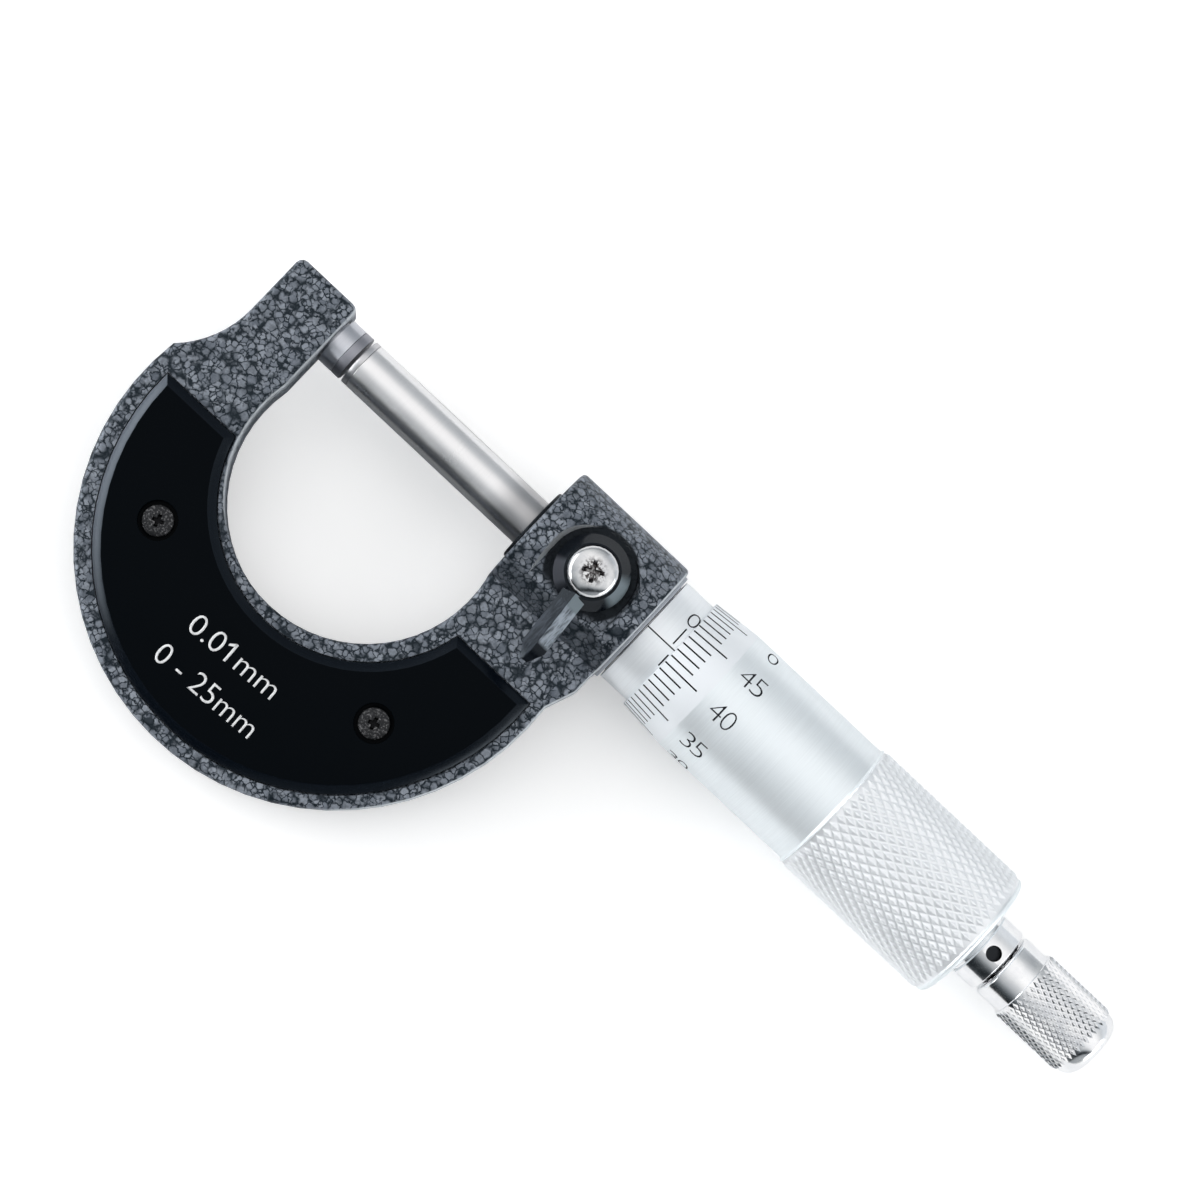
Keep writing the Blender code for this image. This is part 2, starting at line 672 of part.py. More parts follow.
def make_anvil(parent, steel, carbide):
    shoulder = THROAT_LEFT + ANVIL_STANDOFF
    end = ANVIL_FACE_X - ANVIL_TIP_LENGTH - TIP_GAP
    make_object("anvil", turned([
        (THROAT_LEFT - ANVIL_SHANK_LENGTH, 0), (THROAT_LEFT - ANVIL_SHANK_LENGTH, ANVIL_SHANK_RADIUS),
        (shoulder, ANVIL_SHANK_RADIUS), (shoulder, ROD_RADIUS), (end, ROD_RADIUS), (end, 0),
    ], ROD_SEGMENTS), steel, parent=parent)
    make_object("anvil_tip", turned(plain_rod(ANVIL_FACE_X - ANVIL_TIP_LENGTH, ANVIL_FACE_X, ROD_RADIUS, 0.08), ROD_SEGMENTS),
                carbide, parent=parent)


def nut_profile():
    left = HEAD_RIGHT_X - NUT_SEAT_DEPTH
    shoulder = HEAD_RIGHT_X + FACE_GAP
    end = SLEEVE_RIGHT_X - 0.5
    body_end = end - NUT_END_LENGTH
    thread = end - NUT_THREAD_LENGTH
    return [
        (left, NUT_BORE_RADIUS), (left, NUT_SEAT_RADIUS), (shoulder, NUT_SEAT_RADIUS), (shoulder, NUT_BODY_RADIUS),
        (body_end, NUT_BODY_RADIUS), (body_end, NUT_END_RADIUS), (end, NUT_END_RADIUS), (end, NUT_THREAD_RADIUS),
        (thread, NUT_THREAD_RADIUS), (thread - 0.4, NUT_BORE_RADIUS),
    ]


def make_nut(parent, steel):
    nut = make_object("spindle_nut", turned(nut_profile(), ROD_SEGMENTS), steel, parent=parent)
    end = SLEEVE_RIGHT_X - 0.5
    for i in range(NUT_SLOTS):
        slot = box((end - NUT_SLOT_LENGTH, end + 1), (-NUT_SLOT_WIDTH / 2, NUT_SLOT_WIDTH / 2), (1, SLEEVE_RADIUS))
        bmesh.ops.rotate(slot, matrix=Matrix.Rotation(2 * math.pi * i / NUT_SLOTS, 3, "X"), verts=slot.verts)
        combine(nut, make_object(f"nut_slot_{i}", slot, parent=parent), "DIFFERENCE")
    inner = NUT_END_RADIUS + PRESS_GAP
    outer = ADJUSTER_RADIUS
    left = end - NUT_END_LENGTH + 0.7
    right = left + ADJUSTER_LENGTH
    ring = make_object("adjusting_nut", turned([
        (left, inner), (left, outer - 0.2), (left + 0.2, outer), (right - 0.2, outer), (right, outer - 0.2),
        (right, inner),
    ], ROD_SEGMENTS), steel, parent=parent)
    for i in range(2):
        notch = box((right - 1.2, right + 1), (-ADJUSTER_NOTCH / 2, ADJUSTER_NOTCH / 2), (1, outer + 1))
        bmesh.ops.rotate(notch, matrix=Matrix.Rotation(math.pi * i, 3, "X"), verts=notch.verts)
        combine(ring, make_object(f"adjuster_notch_{i}", notch, parent=parent), "DIFFERENCE")


def make_sleeve(parent, chrome):
    inner = SLEEVE_RADIUS - SLEEVE_WALL
    make_object("scale_sleeve", turned([
        (SLEEVE_LEFT_X, inner), (SLEEVE_LEFT_X, SLEEVE_RADIUS - 0.1), (SLEEVE_LEFT_X + 0.1, SLEEVE_RADIUS),
        (SLEEVE_RIGHT_X, SLEEVE_RADIUS), (SLEEVE_RIGHT_X, inner),
    ], SLEEVE_SEGMENTS), chrome, parent=parent)


def thimble_back_x():
    """Where the thimble's bore ends and its solid back begins, from the graduated edge."""
    return THIMBLE_BORE_DEPTH


def make_spindle(parent, steel):
    """The spindle, drawn from its measuring face at its empty's origin."""
    edge = THIMBLE_EDGE_X - SPINDLE_FACE_X
    nut_end = SLEEVE_RIGHT_X - 0.5
    thread_start = nut_end - NUT_THREAD_LENGTH + THREAD_SPARE - TRAVEL - (SPINDLE_FACE_X - JAW_GAP)
    thread_end = nut_end + THREAD_SPARE - (SPINDLE_FACE_X - JAW_GAP)
    thread = NUT_THREAD_RADIUS - RUNNING_GAP
    taper = edge + thimble_back_x() + 1.0
    tip = SPINDLE_TIP_LENGTH + TIP_GAP
    hole = RATCHET_SCREW_RADIUS + PRESS_GAP
    end = taper + TAPER_LENGTH
    make_object("spindle", turned([
        (tip, 0), (tip, ROD_RADIUS), (thread_start, ROD_RADIUS), (thread_start + 0.3, thread),
        (thread_end, thread), (thread_end + 0.3, ROD_RADIUS), (taper - COLLAR_LENGTH, ROD_RADIUS),
        (taper - COLLAR_LENGTH, COLLAR_RADIUS), (taper, COLLAR_RADIUS), (taper, TAPER_LARGE_RADIUS),
        (end, TAPER_SMALL_RADIUS), (end, hole), (end - RATCHET_SCREW_LENGTH - 0.5, hole),
        (end - RATCHET_SCREW_LENGTH - 1.2, 0),
    ], ROD_SEGMENTS), steel, parent=parent)


def make_thimble(parent, chrome):
    """The thimble, drawn from its graduated edge at its empty's origin."""
    bore = SLEEVE_RADIUS + THIMBLE_BORE_GAP
    drum_end = THIMBLE_CONE_LENGTH + THIMBLE_DRUM_LENGTH
    knurl_start = drum_end + KNURL_STEP
    knurl_end = knurl_start + KNURL_LENGTH
    valley = KNURL_RADIUS - KNURL_DEPTH
    back = thimble_back_x()
    taper = back + 1.0
    taper_end = taper + TAPER_LENGTH + 0.3
    rim = knurl_end + 0.1
    corner = arc((rim, valley + 0.1 - THIMBLE_END_ROUNDING), THIMBLE_END_ROUNDING, 90, 10, 4)
    end = rim + THIMBLE_END_ROUNDING
    before = [
        (back, COLLAR_RADIUS + 0.3), (back, bore), (0.0, bore),
        (0.0, THIMBLE_EDGE_RADIUS - THIMBLE_EDGE_CHAMFER), (THIMBLE_EDGE_CHAMFER, THIMBLE_EDGE_RADIUS),
        (THIMBLE_CONE_LENGTH, THIMBLE_RADIUS), (drum_end, THIMBLE_RADIUS),
    ]
    after = corner + [
        (end + THIMBLE_END_CONE, THIMBLE_END_RADIUS), (end + THIMBLE_END_CONE, THIMBLE_HOLE_RADIUS),
        (taper_end, THIMBLE_HOLE_RADIUS), (taper_end, TAPER_SMALL_RADIUS + PRESS_GAP),
        (taper + FACE_GAP, TAPER_LARGE_RADIUS + PRESS_GAP), (taper + FACE_GAP, COLLAR_RADIUS + 0.3),
    ]
    knurl = (knurl_start, KNURL_PITCH, KNURL_ROWS, KNURL_COUNT, valley, KNURL_DEPTH)
    make_object("thimble", knurled(before, knurl, after), chrome, parent=parent)
    return end + THIMBLE_END_CONE


def saw_teeth(x, height, inner, outer, count, direction):
    """A ring of saw teeth on a flat seat at x. The teeth point along direction."""
    bm = bmesh.new()
    steps = 2
    rows = []
    for i in range(count):
        for k in range(steps + 1):
            angle = 2 * math.pi * (i + k / steps * 0.999) / count
            top = x + direction * height * (k / steps)
            rows.append((angle, top))
    base = x - direction * 0.3
    rings = []
    for radius in (inner, outer):
        low = [bm.verts.new((base, radius * math.cos(a), radius * math.sin(a))) for a, _ in rows]
        high = [bm.verts.new((top, radius * math.cos(a), radius * math.sin(a))) for a, top in rows]
        rings.append((low, high))
    (low_in, high_in), (low_out, high_out) = rings
    total = len(rows)
    for i in range(total):
        j = (i + 1) % total
        bm.faces.new((high_in[i], high_in[j], high_out[j], high_out[i]))
        bm.faces.new((low_in[i], low_out[i], low_out[j], low_in[j]))
        bm.faces.new((low_out[i], high_out[i], high_out[j], low_out[j]))
        bm.faces.new((low_in[i], low_in[j], high_in[j], high_in[i]))
    return bm


def make_ratchet_body(parent, chrome, start):
    """The collar that clamps the thimble, with its screw to the left and its shaft to the right."""
    collar = start + FACE_GAP + RATCHET_NECKING
    collar_end = collar + RATCHET_COLLAR_LENGTH
    knob_start = collar_end + RATCHET_PARTING
    cavity_end = knob_cavity_end(knob_start)
    shaft_end = cavity_end + KNOB_END_WALL - 0.1
    screw_start = THIMBLE_EDGE_X - SPINDLE_FACE_X + thimble_back_x() + 1.0 + TAPER_LENGTH
    stub = THIMBLE_HOLE_RADIUS - PRESS_GAP
    bore = RATCHET_SCREW_SHANK_RADIUS + PRESS_GAP
    body = make_object("ratchet_body", turned([
        (screw_start - RATCHET_SCREW_LENGTH, 0), (screw_start - RATCHET_SCREW_LENGTH, RATCHET_SCREW_RADIUS),
        (screw_start + 0.4, RATCHET_SCREW_RADIUS), (screw_start + 0.4, stub), (start + FACE_GAP, stub),
        (start + FACE_GAP, RATCHET_NECKING_RADIUS), (collar, RATCHET_NECKING_RADIUS),
        (collar, RATCHET_COLLAR_RADIUS - 0.15), (collar + 0.15, RATCHET_COLLAR_RADIUS),
        (collar_end - 0.15, RATCHET_COLLAR_RADIUS), (collar_end, RATCHET_COLLAR_RADIUS - 0.15),
        (collar_end, SHAFT_RADIUS), (shaft_end, SHAFT_RADIUS), (shaft_end, bore),
        (shaft_end - RATCHET_SCREW_SHANK_LENGTH - 0.3, bore), (shaft_end - RATCHET_SCREW_SHANK_LENGTH - 0.6, 0),
    ]), chrome, parent=parent)
    teeth = saw_teeth(collar_end, RATCHET_TOOTH_HEIGHT, RATCHET_TOOTH_INNER_RADIUS,
                      KNOB_CAVITY_RADIUS - 0.2, RATCHET_TEETH, 1)
    combine(body, make_object("body_teeth", teeth, parent=parent), "UNION")
    hole = turned(plain_rod(RATCHET_COLLAR_RADIUS - SPANNER_HOLE_DEPTH, RATCHET_COLLAR_RADIUS + 1,
                            SPANNER_HOLE_RADIUS), SMALL_SEGMENTS)
    place = ((collar + collar_end) / 2, 0, 0)
    combine(body, make_object("spanner_hole", upright(hole), place=place, parent=parent), "DIFFERENCE")
    return knob_start


def knob_cavity_end(knob_start):
    whole = KNOB_NECK_LENGTH + KNOB_KNURL_LENGTH + KNOB_END_ROUNDING
    return knob_start + whole - KNOB_END_RECESS - KNOB_END_WALL


def make_ratchet_knob(parent, chrome, start):
    """The knob, with its cavity for the click plate and spring and its recess for the end screw."""
    knurl_start = start + KNOB_NECK_LENGTH
    knurl_end = knurl_start + KNOB_KNURL_LENGTH
    valley = KNOB_RADIUS - KNOB_KNURL_DEPTH
    cavity_end = knob_cavity_end(start)
    recess = cavity_end + KNOB_END_WALL
    end = knurl_end + KNOB_END_ROUNDING
    chamfer = KNOB_NECK_CHAMFER
    hole = SHAFT_RADIUS + RUNNING_GAP
    end_recess = RATCHET_SCREW_HEAD_RADIUS + 0.2
    before = [
        (cavity_end, hole), (cavity_end, KNOB_CAVITY_RADIUS), (start, KNOB_CAVITY_RADIUS),
        (start, KNOB_NECK_RADIUS - chamfer), (start + chamfer, KNOB_NECK_RADIUS),
        (knurl_start - 0.4, KNOB_NECK_RADIUS),
    ]
    after = arc((knurl_end, valley - KNOB_END_ROUNDING), KNOB_END_ROUNDING, 72, 0, 4) + [
        (end, end_recess), (recess, end_recess), (recess, hole),
    ]
    knurl = (knurl_start, KNOB_KNURL_PITCH, KNOB_KNURL_ROWS, KNOB_KNURL_COUNT, valley, KNOB_KNURL_DEPTH)
    make_object("ratchet_knob", knurled(before, knurl, after), chrome, parent=parent)


def make_ratchet_inside(parent, turning, steel, start):
    """The click plate and spring in the knob, and the screw in the shaft's end."""
    hole = SHAFT_RADIUS + RUNNING_GAP
    outer = KNOB_CAVITY_RADIUS - 0.1
    collar_end = start - RATCHET_PARTING
    plate_x = collar_end + 2 * RATCHET_TOOTH_HEIGHT + 0.1
    plate = make_object("ratchet_click_plate", turned([
        (plate_x, hole), (plate_x, outer), (plate_x + CLICK_PLATE_THICKNESS, outer),
        (plate_x + CLICK_PLATE_THICKNESS, hole),
    ], 36), steel, parent=parent)
    teeth = saw_teeth(plate_x, RATCHET_TOOTH_HEIGHT, RATCHET_TOOTH_INNER_RADIUS, outer - 0.1, RATCHET_TEETH, -1)
    combine(plate, make_object("plate_teeth", teeth, parent=parent), "UNION")

    low = plate_x + CLICK_PLATE_THICKNESS + SPRING_WIRE_RADIUS + FACE_GAP
    high = knob_cavity_end(start) - SPRING_WIRE_RADIUS - FACE_GAP
    make_object("ratchet_spring", coil(low, high), steel, parent=parent)

    seat = knob_cavity_end(start) + KNOB_END_WALL + FACE_GAP
    top = seat + RATCHET_SCREW_HEAD_HEIGHT
    shank = RATCHET_SCREW_SHANK_RADIUS
    screw = make_object("ratchet_screw", turned([
        (seat - RATCHET_SCREW_SHANK_LENGTH, 0), (seat - RATCHET_SCREW_SHANK_LENGTH, shank), (seat, shank),
        (seat, RATCHET_SCREW_HEAD_RADIUS), (top - 0.3, RATCHET_SCREW_HEAD_RADIUS),
        (top, RATCHET_SCREW_HEAD_RADIUS - 0.3), (top, 0),
    ], SMALL_SEGMENTS), steel, parent=turning)
    slot = box((top - 0.5, top + 1), (-0.3, 0.3), (-RATCHET_SCREW_HEAD_RADIUS - 1, RATCHET_SCREW_HEAD_RADIUS + 1))
    combine(screw, make_object("ratchet_screw_slot", slot, parent=turning), "DIFFERENCE")


def coil(low, high):
    """A round-wire helix about X, closed flat at both ends."""
    bm = bmesh.new()
    per_turn = 14
    sides = 6
    total = per_turn * SPRING_TURNS
    rings = []
    for i in range(total + 1):
        angle = 2 * math.pi * i / per_turn
        x = low + (high - low) * i / total
        out = Vector((0, math.cos(angle), math.sin(angle)))
        middle = out * SPRING_RADIUS + Vector((x, 0, 0))
        ring = []
        for k in range(sides):
            around = 2 * math.pi * k / sides
            offset = out * math.cos(around) + Vector((1, 0, 0)) * math.sin(around)
            ring.append(bm.verts.new(middle + offset * SPRING_WIRE_RADIUS))
        rings.append(ring)
    for a, b in zip(rings, rings[1:]):
        for k in range(sides):
            j = (k + 1) % sides
            bm.faces.new((a[k], a[j], b[j], b[k]))
    bm.faces.new(rings[0][::-1])
    bm.faces.new(rings[-1])
    return bm


def make_lock(parent, frame_parent, black, chrome, steel, brass):
    """The lock's pieces, drawn about their own axis, which stands along Z through the head."""
    hub_bottom = LOCK_FLOOR + FACE_GAP
    hub_top = hub_bottom + HUB_HEIGHT
    seat = hub_top - HUB_SEAT
    bore = LOCK_STUD_NECK_RADIUS + PRESS_GAP
    head_seat = LOCK_SCREW_HEAD_RADIUS + 0.08
    lever = make_object("lock_lever", upright(turned([
        (hub_bottom, bore), (hub_bottom, HUB_RADIUS), (hub_bottom + HUB_SIDE, HUB_RADIUS),
        (hub_top, HUB_TOP_RADIUS), (hub_top, head_seat), (seat, head_seat), (seat, bore),
    ], 40)), black, parent=parent)
    combine(lever, make_object("lever_finger", lever_finger(), parent=parent,
                               turn=math.radians(LEVER_ANGLE)), "UNION")

    pad_top = ROD_RADIUS + RUNNING_GAP + LOCK_PAD_THICKNESS
    stud_bottom = pad_top + FACE_GAP
    stud_top = seat - 0.15
    shoulder = LOCK_FLOOR - 0.1
    hole = LOCK_SCREW_RADIUS + PRESS_GAP
    hole_bottom = seat - LOCK_SCREW_LENGTH - 0.2
    make_object("lock_stud", upright(turned([
        (stud_bottom, 0), (stud_bottom, LOCK_STUD_RADIUS - 0.4), (stud_bottom + 0.4, LOCK_STUD_RADIUS),
        (shoulder, LOCK_STUD_RADIUS), (shoulder, LOCK_STUD_NECK_RADIUS), (stud_top, LOCK_STUD_NECK_RADIUS),
        (stud_top, hole), (hole_bottom, hole), (hole_bottom, 0),
    ], SMALL_SEGMENTS)), steel, parent=parent)
    make_screw("lock_lever_screw", LOCK_SCREW_HEAD_RADIUS, LOCK_SCREW_HEAD_HEIGHT, LOCK_SCREW_HEAD_HEIGHT - 0.35,
               LOCK_SCREW_RADIUS, LOCK_SCREW_LENGTH, parent, chrome, (0, 0, seat + FACE_GAP), turn=0.5)
    pad = make_object("lock_pad", upright(turned(plain_rod(ROD_RADIUS - 1.2, pad_top, LOCK_PAD_RADIUS), SMALL_SEGMENTS)),
                      brass, place=(LOCK_X, 0, 0), parent=frame_parent)
    saddle = turned(plain_rod(LOCK_X - 4, LOCK_X + 4, ROD_RADIUS + RUNNING_GAP))
    combine(pad, make_object("pad_saddle", saddle, parent=frame_parent), "DIFFERENCE")


def lever_finger():
    """The lever's finger, a roof-shaped bar with a sloping nose, pointing along -Y."""
    wide = LEVER_WIDTH / 2
    narrow = LEVER_NOSE_WIDTH / 2
    low = LEVER_UNDERSIDE
    eave = low + LEVER_SIDE
    ridge = eave + LEVER_RIDGE
    root = -(HUB_TOP_RADIUS - 0.2)
    loops = []
    for y, half, floor, side, top in (
        (root, wide, low, eave, ridge), (-LEVER_LENGTH + LEVER_NOSE, wide, low, eave, ridge),
        (-LEVER_LENGTH, narrow, low + 0.2, low + 0.45, low + 0.6),
    ):
        section = [(-half, floor), (half, floor), (half, side), (0, top), (-half, side)]
        loops.append([(x, y, z) for x, z in section])
    return loft(loops)


def build():
    clear_scene()
    paint = make_material("hammertone_paint", (0.13, 0.15, 0.18), 0.35, 0.2)
    black = make_material("black_plate", (0.012, 0.014, 0.017), 0.4, 0.0)
    dark_steel = make_material("black_oxide_steel", (0.03, 0.03, 0.033), 0.35, 0.7)
    steel = make_material("ground_steel", (0.55, 0.55, 0.56), 0.3, 1.0)
    carbide = make_material("carbide", (0.22, 0.23, 0.25), 0.3, 1.0)
    satin = make_material("satin_chrome", (0.78, 0.81, 0.85), 0.35, 1.0)
    chrome = make_material("polished_chrome", (0.82, 0.83, 0.85), 0.1, 1.0)
    brass = make_material("brass", (0.72, 0.53, 0.24), 0.3, 1.0)

    axis = make_empty("spindle_axis", AXIS)
    make_frame(axis, paint)
    make_anvil(axis, steel, carbide)
    for name, side in (("front", 1), ("rear", -1)):
        make_plate(f"{name}_plate", side, axis, black)
        seat = side * (PLATE_FACE_Z - COUNTERBORE_DEPTH + FACE_GAP)
        for place, x in (("left", -PLATE_SCREW_SPACING / 2), ("right", PLATE_SCREW_SPACING / 2)):
            make_screw(f"{name}_plate_screw_{place}", PLATE_SCREW_HEAD_RADIUS, PLATE_SCREW_HEAD_HEIGHT, 0.3,
                       PLATE_SCREW_RADIUS, PLATE_SCREW_LENGTH, axis, dark_steel,
                       (x, -PLATE_SCREW_DROP, seat), side)
    make_nut(axis, steel)
    make_sleeve(axis, satin)

    sliding = make_empty("spindle_travel", (SPINDLE_FACE_X, 0, 0), axis)
    make_object("spindle_tip", turned(plain_rod(0, SPINDLE_TIP_LENGTH, ROD_RADIUS, 0.08), ROD_SEGMENTS), carbide, parent=sliding)
    turning = make_empty("spindle_turn", (0, 0, 0), sliding)
    make_spindle(turning, steel)
    edge = THIMBLE_EDGE_X - SPINDLE_FACE_X
    drum = make_empty("thimble_edge", (edge, 0, 0), turning)
    thimble_end = edge + make_thimble(drum, satin)
    knob_start = make_ratchet_body(turning, chrome, thimble_end)
    ratchet = make_empty("ratchet_turn", (0, 0, 0), turning)
    make_ratchet_knob(ratchet, chrome, knob_start)
    make_ratchet_inside(ratchet, turning, steel, knob_start)

    lock = make_empty("lock_turn", (LOCK_X, 0, 0), axis)
    make_lock(lock, axis, black, chrome, steel, brass)


build()
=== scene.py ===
"""Finishes, engraving and knurls of an outside micrometer, on a pale studio table.

Sizes are in millimetres and colours are linear. X runs along the spindle from the anvil to the
ratchet, Y from the ring up to the spindle, and Z out of the front face. Places named from the
axis have the spindle's axis as their zero.
"""
import math

import bmesh
import bpy
from mathutils import Matrix, Vector


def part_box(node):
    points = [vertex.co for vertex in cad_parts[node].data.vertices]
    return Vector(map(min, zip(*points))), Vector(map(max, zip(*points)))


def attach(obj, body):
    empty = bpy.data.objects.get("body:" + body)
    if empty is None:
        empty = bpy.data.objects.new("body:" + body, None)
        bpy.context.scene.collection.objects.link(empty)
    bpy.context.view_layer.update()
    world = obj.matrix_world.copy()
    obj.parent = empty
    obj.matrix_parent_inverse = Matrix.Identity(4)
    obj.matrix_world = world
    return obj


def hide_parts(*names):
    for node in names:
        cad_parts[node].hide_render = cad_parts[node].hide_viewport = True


MM = 0.001

# Reading
THREAD_PITCH = 0.5
RANGE = 25.0
READING = 0.415
DIVISIONS = 50
DIVISIONS_PER_NUMBER = 5
MARKS_PER_NUMBER = 10

# Thimble, from its graduated edge
DRUM_STEPS = 192
EDGE_RADIUS = 8.37
CONE_LENGTH = 6.4
DRUM_RADIUS = 8.97
DRUM_END = 27.0
DRUM_SOFTENING = 0.05
KNURL_START = 27.35
KNURL_PITCH = 2.06
KNURL_ROWS = 11
KNURL_COUNT = 48
KNURL_RADIUS = 9.39
KNURL_DEPTH = 0.32
KNURL_RIDGE = 0.3
KNURL_RIDGE_WIDTH = 0.15
THIMBLE_ROUNDING = 0.75
THIMBLE_BORE = 7.9
THIMBLE_BORE_DEPTH = 35.8
THIMBLE_END = 51.41
THIMBLE_END_WALL = 2.0
THIMBLE_END_FACE = 4.6
THIMBLE_HOLE = 2.7

# Knurls: how far the drum lies under the valleys, and how far the knurl's sides reach into it
KNURL_SINK = 0.06
KNURL_RIM = 0.1
# Each step towards a diamond's top, as a share of its half width and of its height
DIAMOND_STEPS = ((0.06, 0.0), (0.42, 0.78), (0.14, 0.17), (0.10, 0.05))

# Thimble's graduation
LINE_START = 0.04
SHORT_LINE = 3.6
LONG_LINE = 5.25
LINE_WIDTH = 0.2
NUMBER_X = 9.52
NUMBER_HEIGHT = 2.47
NUMBER_THINNING = 0.021
DIGIT_GAP = 0.22
DIGIT_WIDTHS = {"0": 1.55, "1": 0.75, "2": 1.5, "3": 1.47, "4": 1.72, "5": 1.58}
SHOWN_DIVISION = 41.65

# Sleeve's graduation
SLEEVE_RADIUS = 7.8
SLEEVE_SETBACK = 0.31
DATUM_WIDTH = 0.17
DATUM_OVERRUN = 4.0
MARK_WIDTH = 0.19
WHOLE_MARK = (0.5, 3.05)
HALF_MARK = (-2.65, -0.85)
SLEEVE_NUMBER_HEIGHT = 2.15
SLEEVE_NUMBER_PLACE = 4.66

# Ink: how far it stands out of a surface and reaches into it, and its slices where it is bent
INK_LIFT = 0.01
INK_DEPTH = 0.04
INK_SLICE = 0.35

# Ratchet collar
RATCHET_PARTING = 0.45
RATCHET_COLLAR_LENGTH = 3.2
RATCHET_COLLAR_RADIUS = 4.6
SPANNER_HOLE_RADIUS = 1.0
SPANNER_HOLE_DEPTH = 3.0

# Ratchet knob, from its open end
KNOB_NECK_RADIUS = 4.5
KNOB_NECK_LENGTH = 3.65
KNOB_NECK_BREAK = 0.35
KNOB_STEP_LENGTH = 0.06
KNOB_EDGE_LAND = 0.2
KNOB_RADIUS = 5.0
KNOB_KNURL_DEPTH = 0.26
KNOB_KNURL_PITCH = 1.45
KNOB_KNURL_ROWS = 7
KNOB_KNURL_COUNT = 40
KNOB_LENGTH = 15.8
KNOB_SOFTENING = 0.06
KNOB_BORE = 3.2
KNOB_BORE_DEPTH = 11.9
KNOB_WALL = 1.5
KNOB_SHAFT_HOLE = 1.56
KNOB_ROUNDING = 2.0
KNOB_END_HOLE = 2.5
KNOB_END_BREAK = 0.1

# Lettering on the front plate: text, middle x, lower edge from the axis, width and height
LETTER_TURN = 2.6
LETTER_THINNING = 0.009
RESOLUTION_TEXT = ("0.01mm", 0.13, -38.0, 13.25, 2.68)
RANGE_TEXT = ("0 - 25mm", 0.46, -43.3, 15.1, 2.68)

# Broken edges, and the turns in degrees that count as flat and as an edge
TURNED_EDGE = 0.06
SCREW_EDGE = 0.08
CAST_EDGE = 0.12
PLATE_EDGE = 0.08
FLAT_ANGLE = 0.5
EDGE_ANGLE = 32.0

# Hammered enamel
PEBBLE_SIZES = ((0.92, 0.1), (1.288, 0.12))
PEBBLE_SCATTER = 0.85
PEBBLE_SWAY_SCALE = 2.2
PEBBLE_SWAY = 0.5
ENAMEL_GROUND = (0.005, 0.009, 0.013)
# Nearly black in the lock's recess and on the boss: partly dark enamel, partly painted shade
ENAMEL_BLACK_AND_SHADE = (0.002, 0.0025, 0.0035)
PEBBLE_DARK = (0.135, 0.153, 0.183)
PEBBLE_LIGHT = (0.28, 0.307, 0.35)
# Painted highlight on edges and walls that face the ratchet's end
EDGE_HIGHLIGHT = (0.5, 0.53, 0.56)
# The bare step beside the sleeve, painted lighter grey as a highlight
BARE_STEP_HIGHLIGHT = (0.36, 0.38, 0.42)
COOL_SHINE = (0.72, 0.86, 1.0)

# Tones, painted shade and painted highlights on the frame's head. Each pair is where a tone
# starts and is full, or fades and is gone.
# Along X they are from the origin, the boss's depth from the head's left side, the recess's radius
# from the lock, and the rest from the spindle's axis.
HEAD_LEFT = 15.55
HEAD_STEP = 33.35
# Where the painted shade under the head begins, along X and below the axis
HEAD_SHADE_X = (12.0, 13.0)
HEAD_UNDERSIDE_SHADE = (-12.0, -11.5)
BOSS_DEPTH = (1.0, 0.8)
BOSS_RADIUS = (5.3, 5.5)
WELL_FLOOR = (7.45, 7.9)
WELL_BOTTOM = (5.6, 6.4)
WELL_RADIUS = (5.75, 6.1)
WELL_LOWER_EDGE = (-5.2, -3.6)
# Heights from the axis over which the painted highlight on walls grows
WALL_HIGHLIGHT_HEIGHT = (0.5, 4.0)

# Lock lever, with its places along Y from the axis
FINGER_START = (-5.2, -4.6)
HUB_LOWER_EDGE = (-5.4, -4.8)
FINGER_HIGHLIGHT_END = (-10.9, -10.2)
LACQUER_BLACK = (0.002, 0.003, 0.005)
# Painted reflections on the lever: a highlight on the finger's right slope, a faint sheen on its left, and a
# bright and a dull reflection on two sides of the hub
FINGER_RIGHT_HIGHLIGHT = (0.3, 0.34, 0.385)
FINGER_LEFT_REFLECTION = (0.024, 0.028, 0.037)
HUB_BRIGHT_REFLECTION = (0.17, 0.205, 0.225)
HUB_DULL_REFLECTION = (0.05, 0.053, 0.062)

# Screw heads
PLATE_SCREW_DOME = 0.3
PLATE_SCREW_RADIUS = 2.0
LOCK_SCREW_DOME = 1.15
LOCK_SCREW_RADIUS = 3.2
OXIDE_DARK = (0.018, 0.019, 0.021)
OXIDE_THIN = (0.16, 0.16, 0.165)
# Painted shade in the plate screws' cross
OXIDE_CROSS_SHADE = (0.002, 0.002, 0.003)
DOME_DULL = (0.58, 0.59, 0.61)
DOME_BRIGHT = (0.74, 0.745, 0.75)
# Painted shade in the lever screw's cross, and the colour of its dark blots
DOME_CROSS_SHADE_AND_BLOTS = (0.05, 0.045, 0.045)

# Plates
PLATE_DARK = (0.0004, 0.0012, 0.0022)
PLATE_PALE = (0.0012, 0.0024, 0.0038)
CHAMFER_DARK = (0.0008, 0.0018, 0.0034)
CHAMFER_PALE = (0.0026, 0.0044, 0.0078)
# Painted highlight on the chamfer's outer left side, and where along X it fades
CHAMFER_HIGHLIGHT = (0.085, 0.098, 0.118)
CHAMFER_HIGHLIGHT_X = (-4.0, -14.0)

# Bright metals, inks and paint
DRUM_SATIN = (0.81, 0.86, 0.89)
CONE_SATIN = (0.79, 0.825, 0.86)
KNURL_SATIN = (0.87, 0.895, 0.92)
SLEEVE_SATIN = (0.85, 0.885, 0.915)
GROUND_STEEL = (0.80, 0.80, 0.81)
# Painted reflection of the dark head, darkening the ground rod beside it
GROUND_HEAD_REFLECTION = (0.43, 0.43, 0.44)
HEAD_REFLECTION_FADE = 4.5
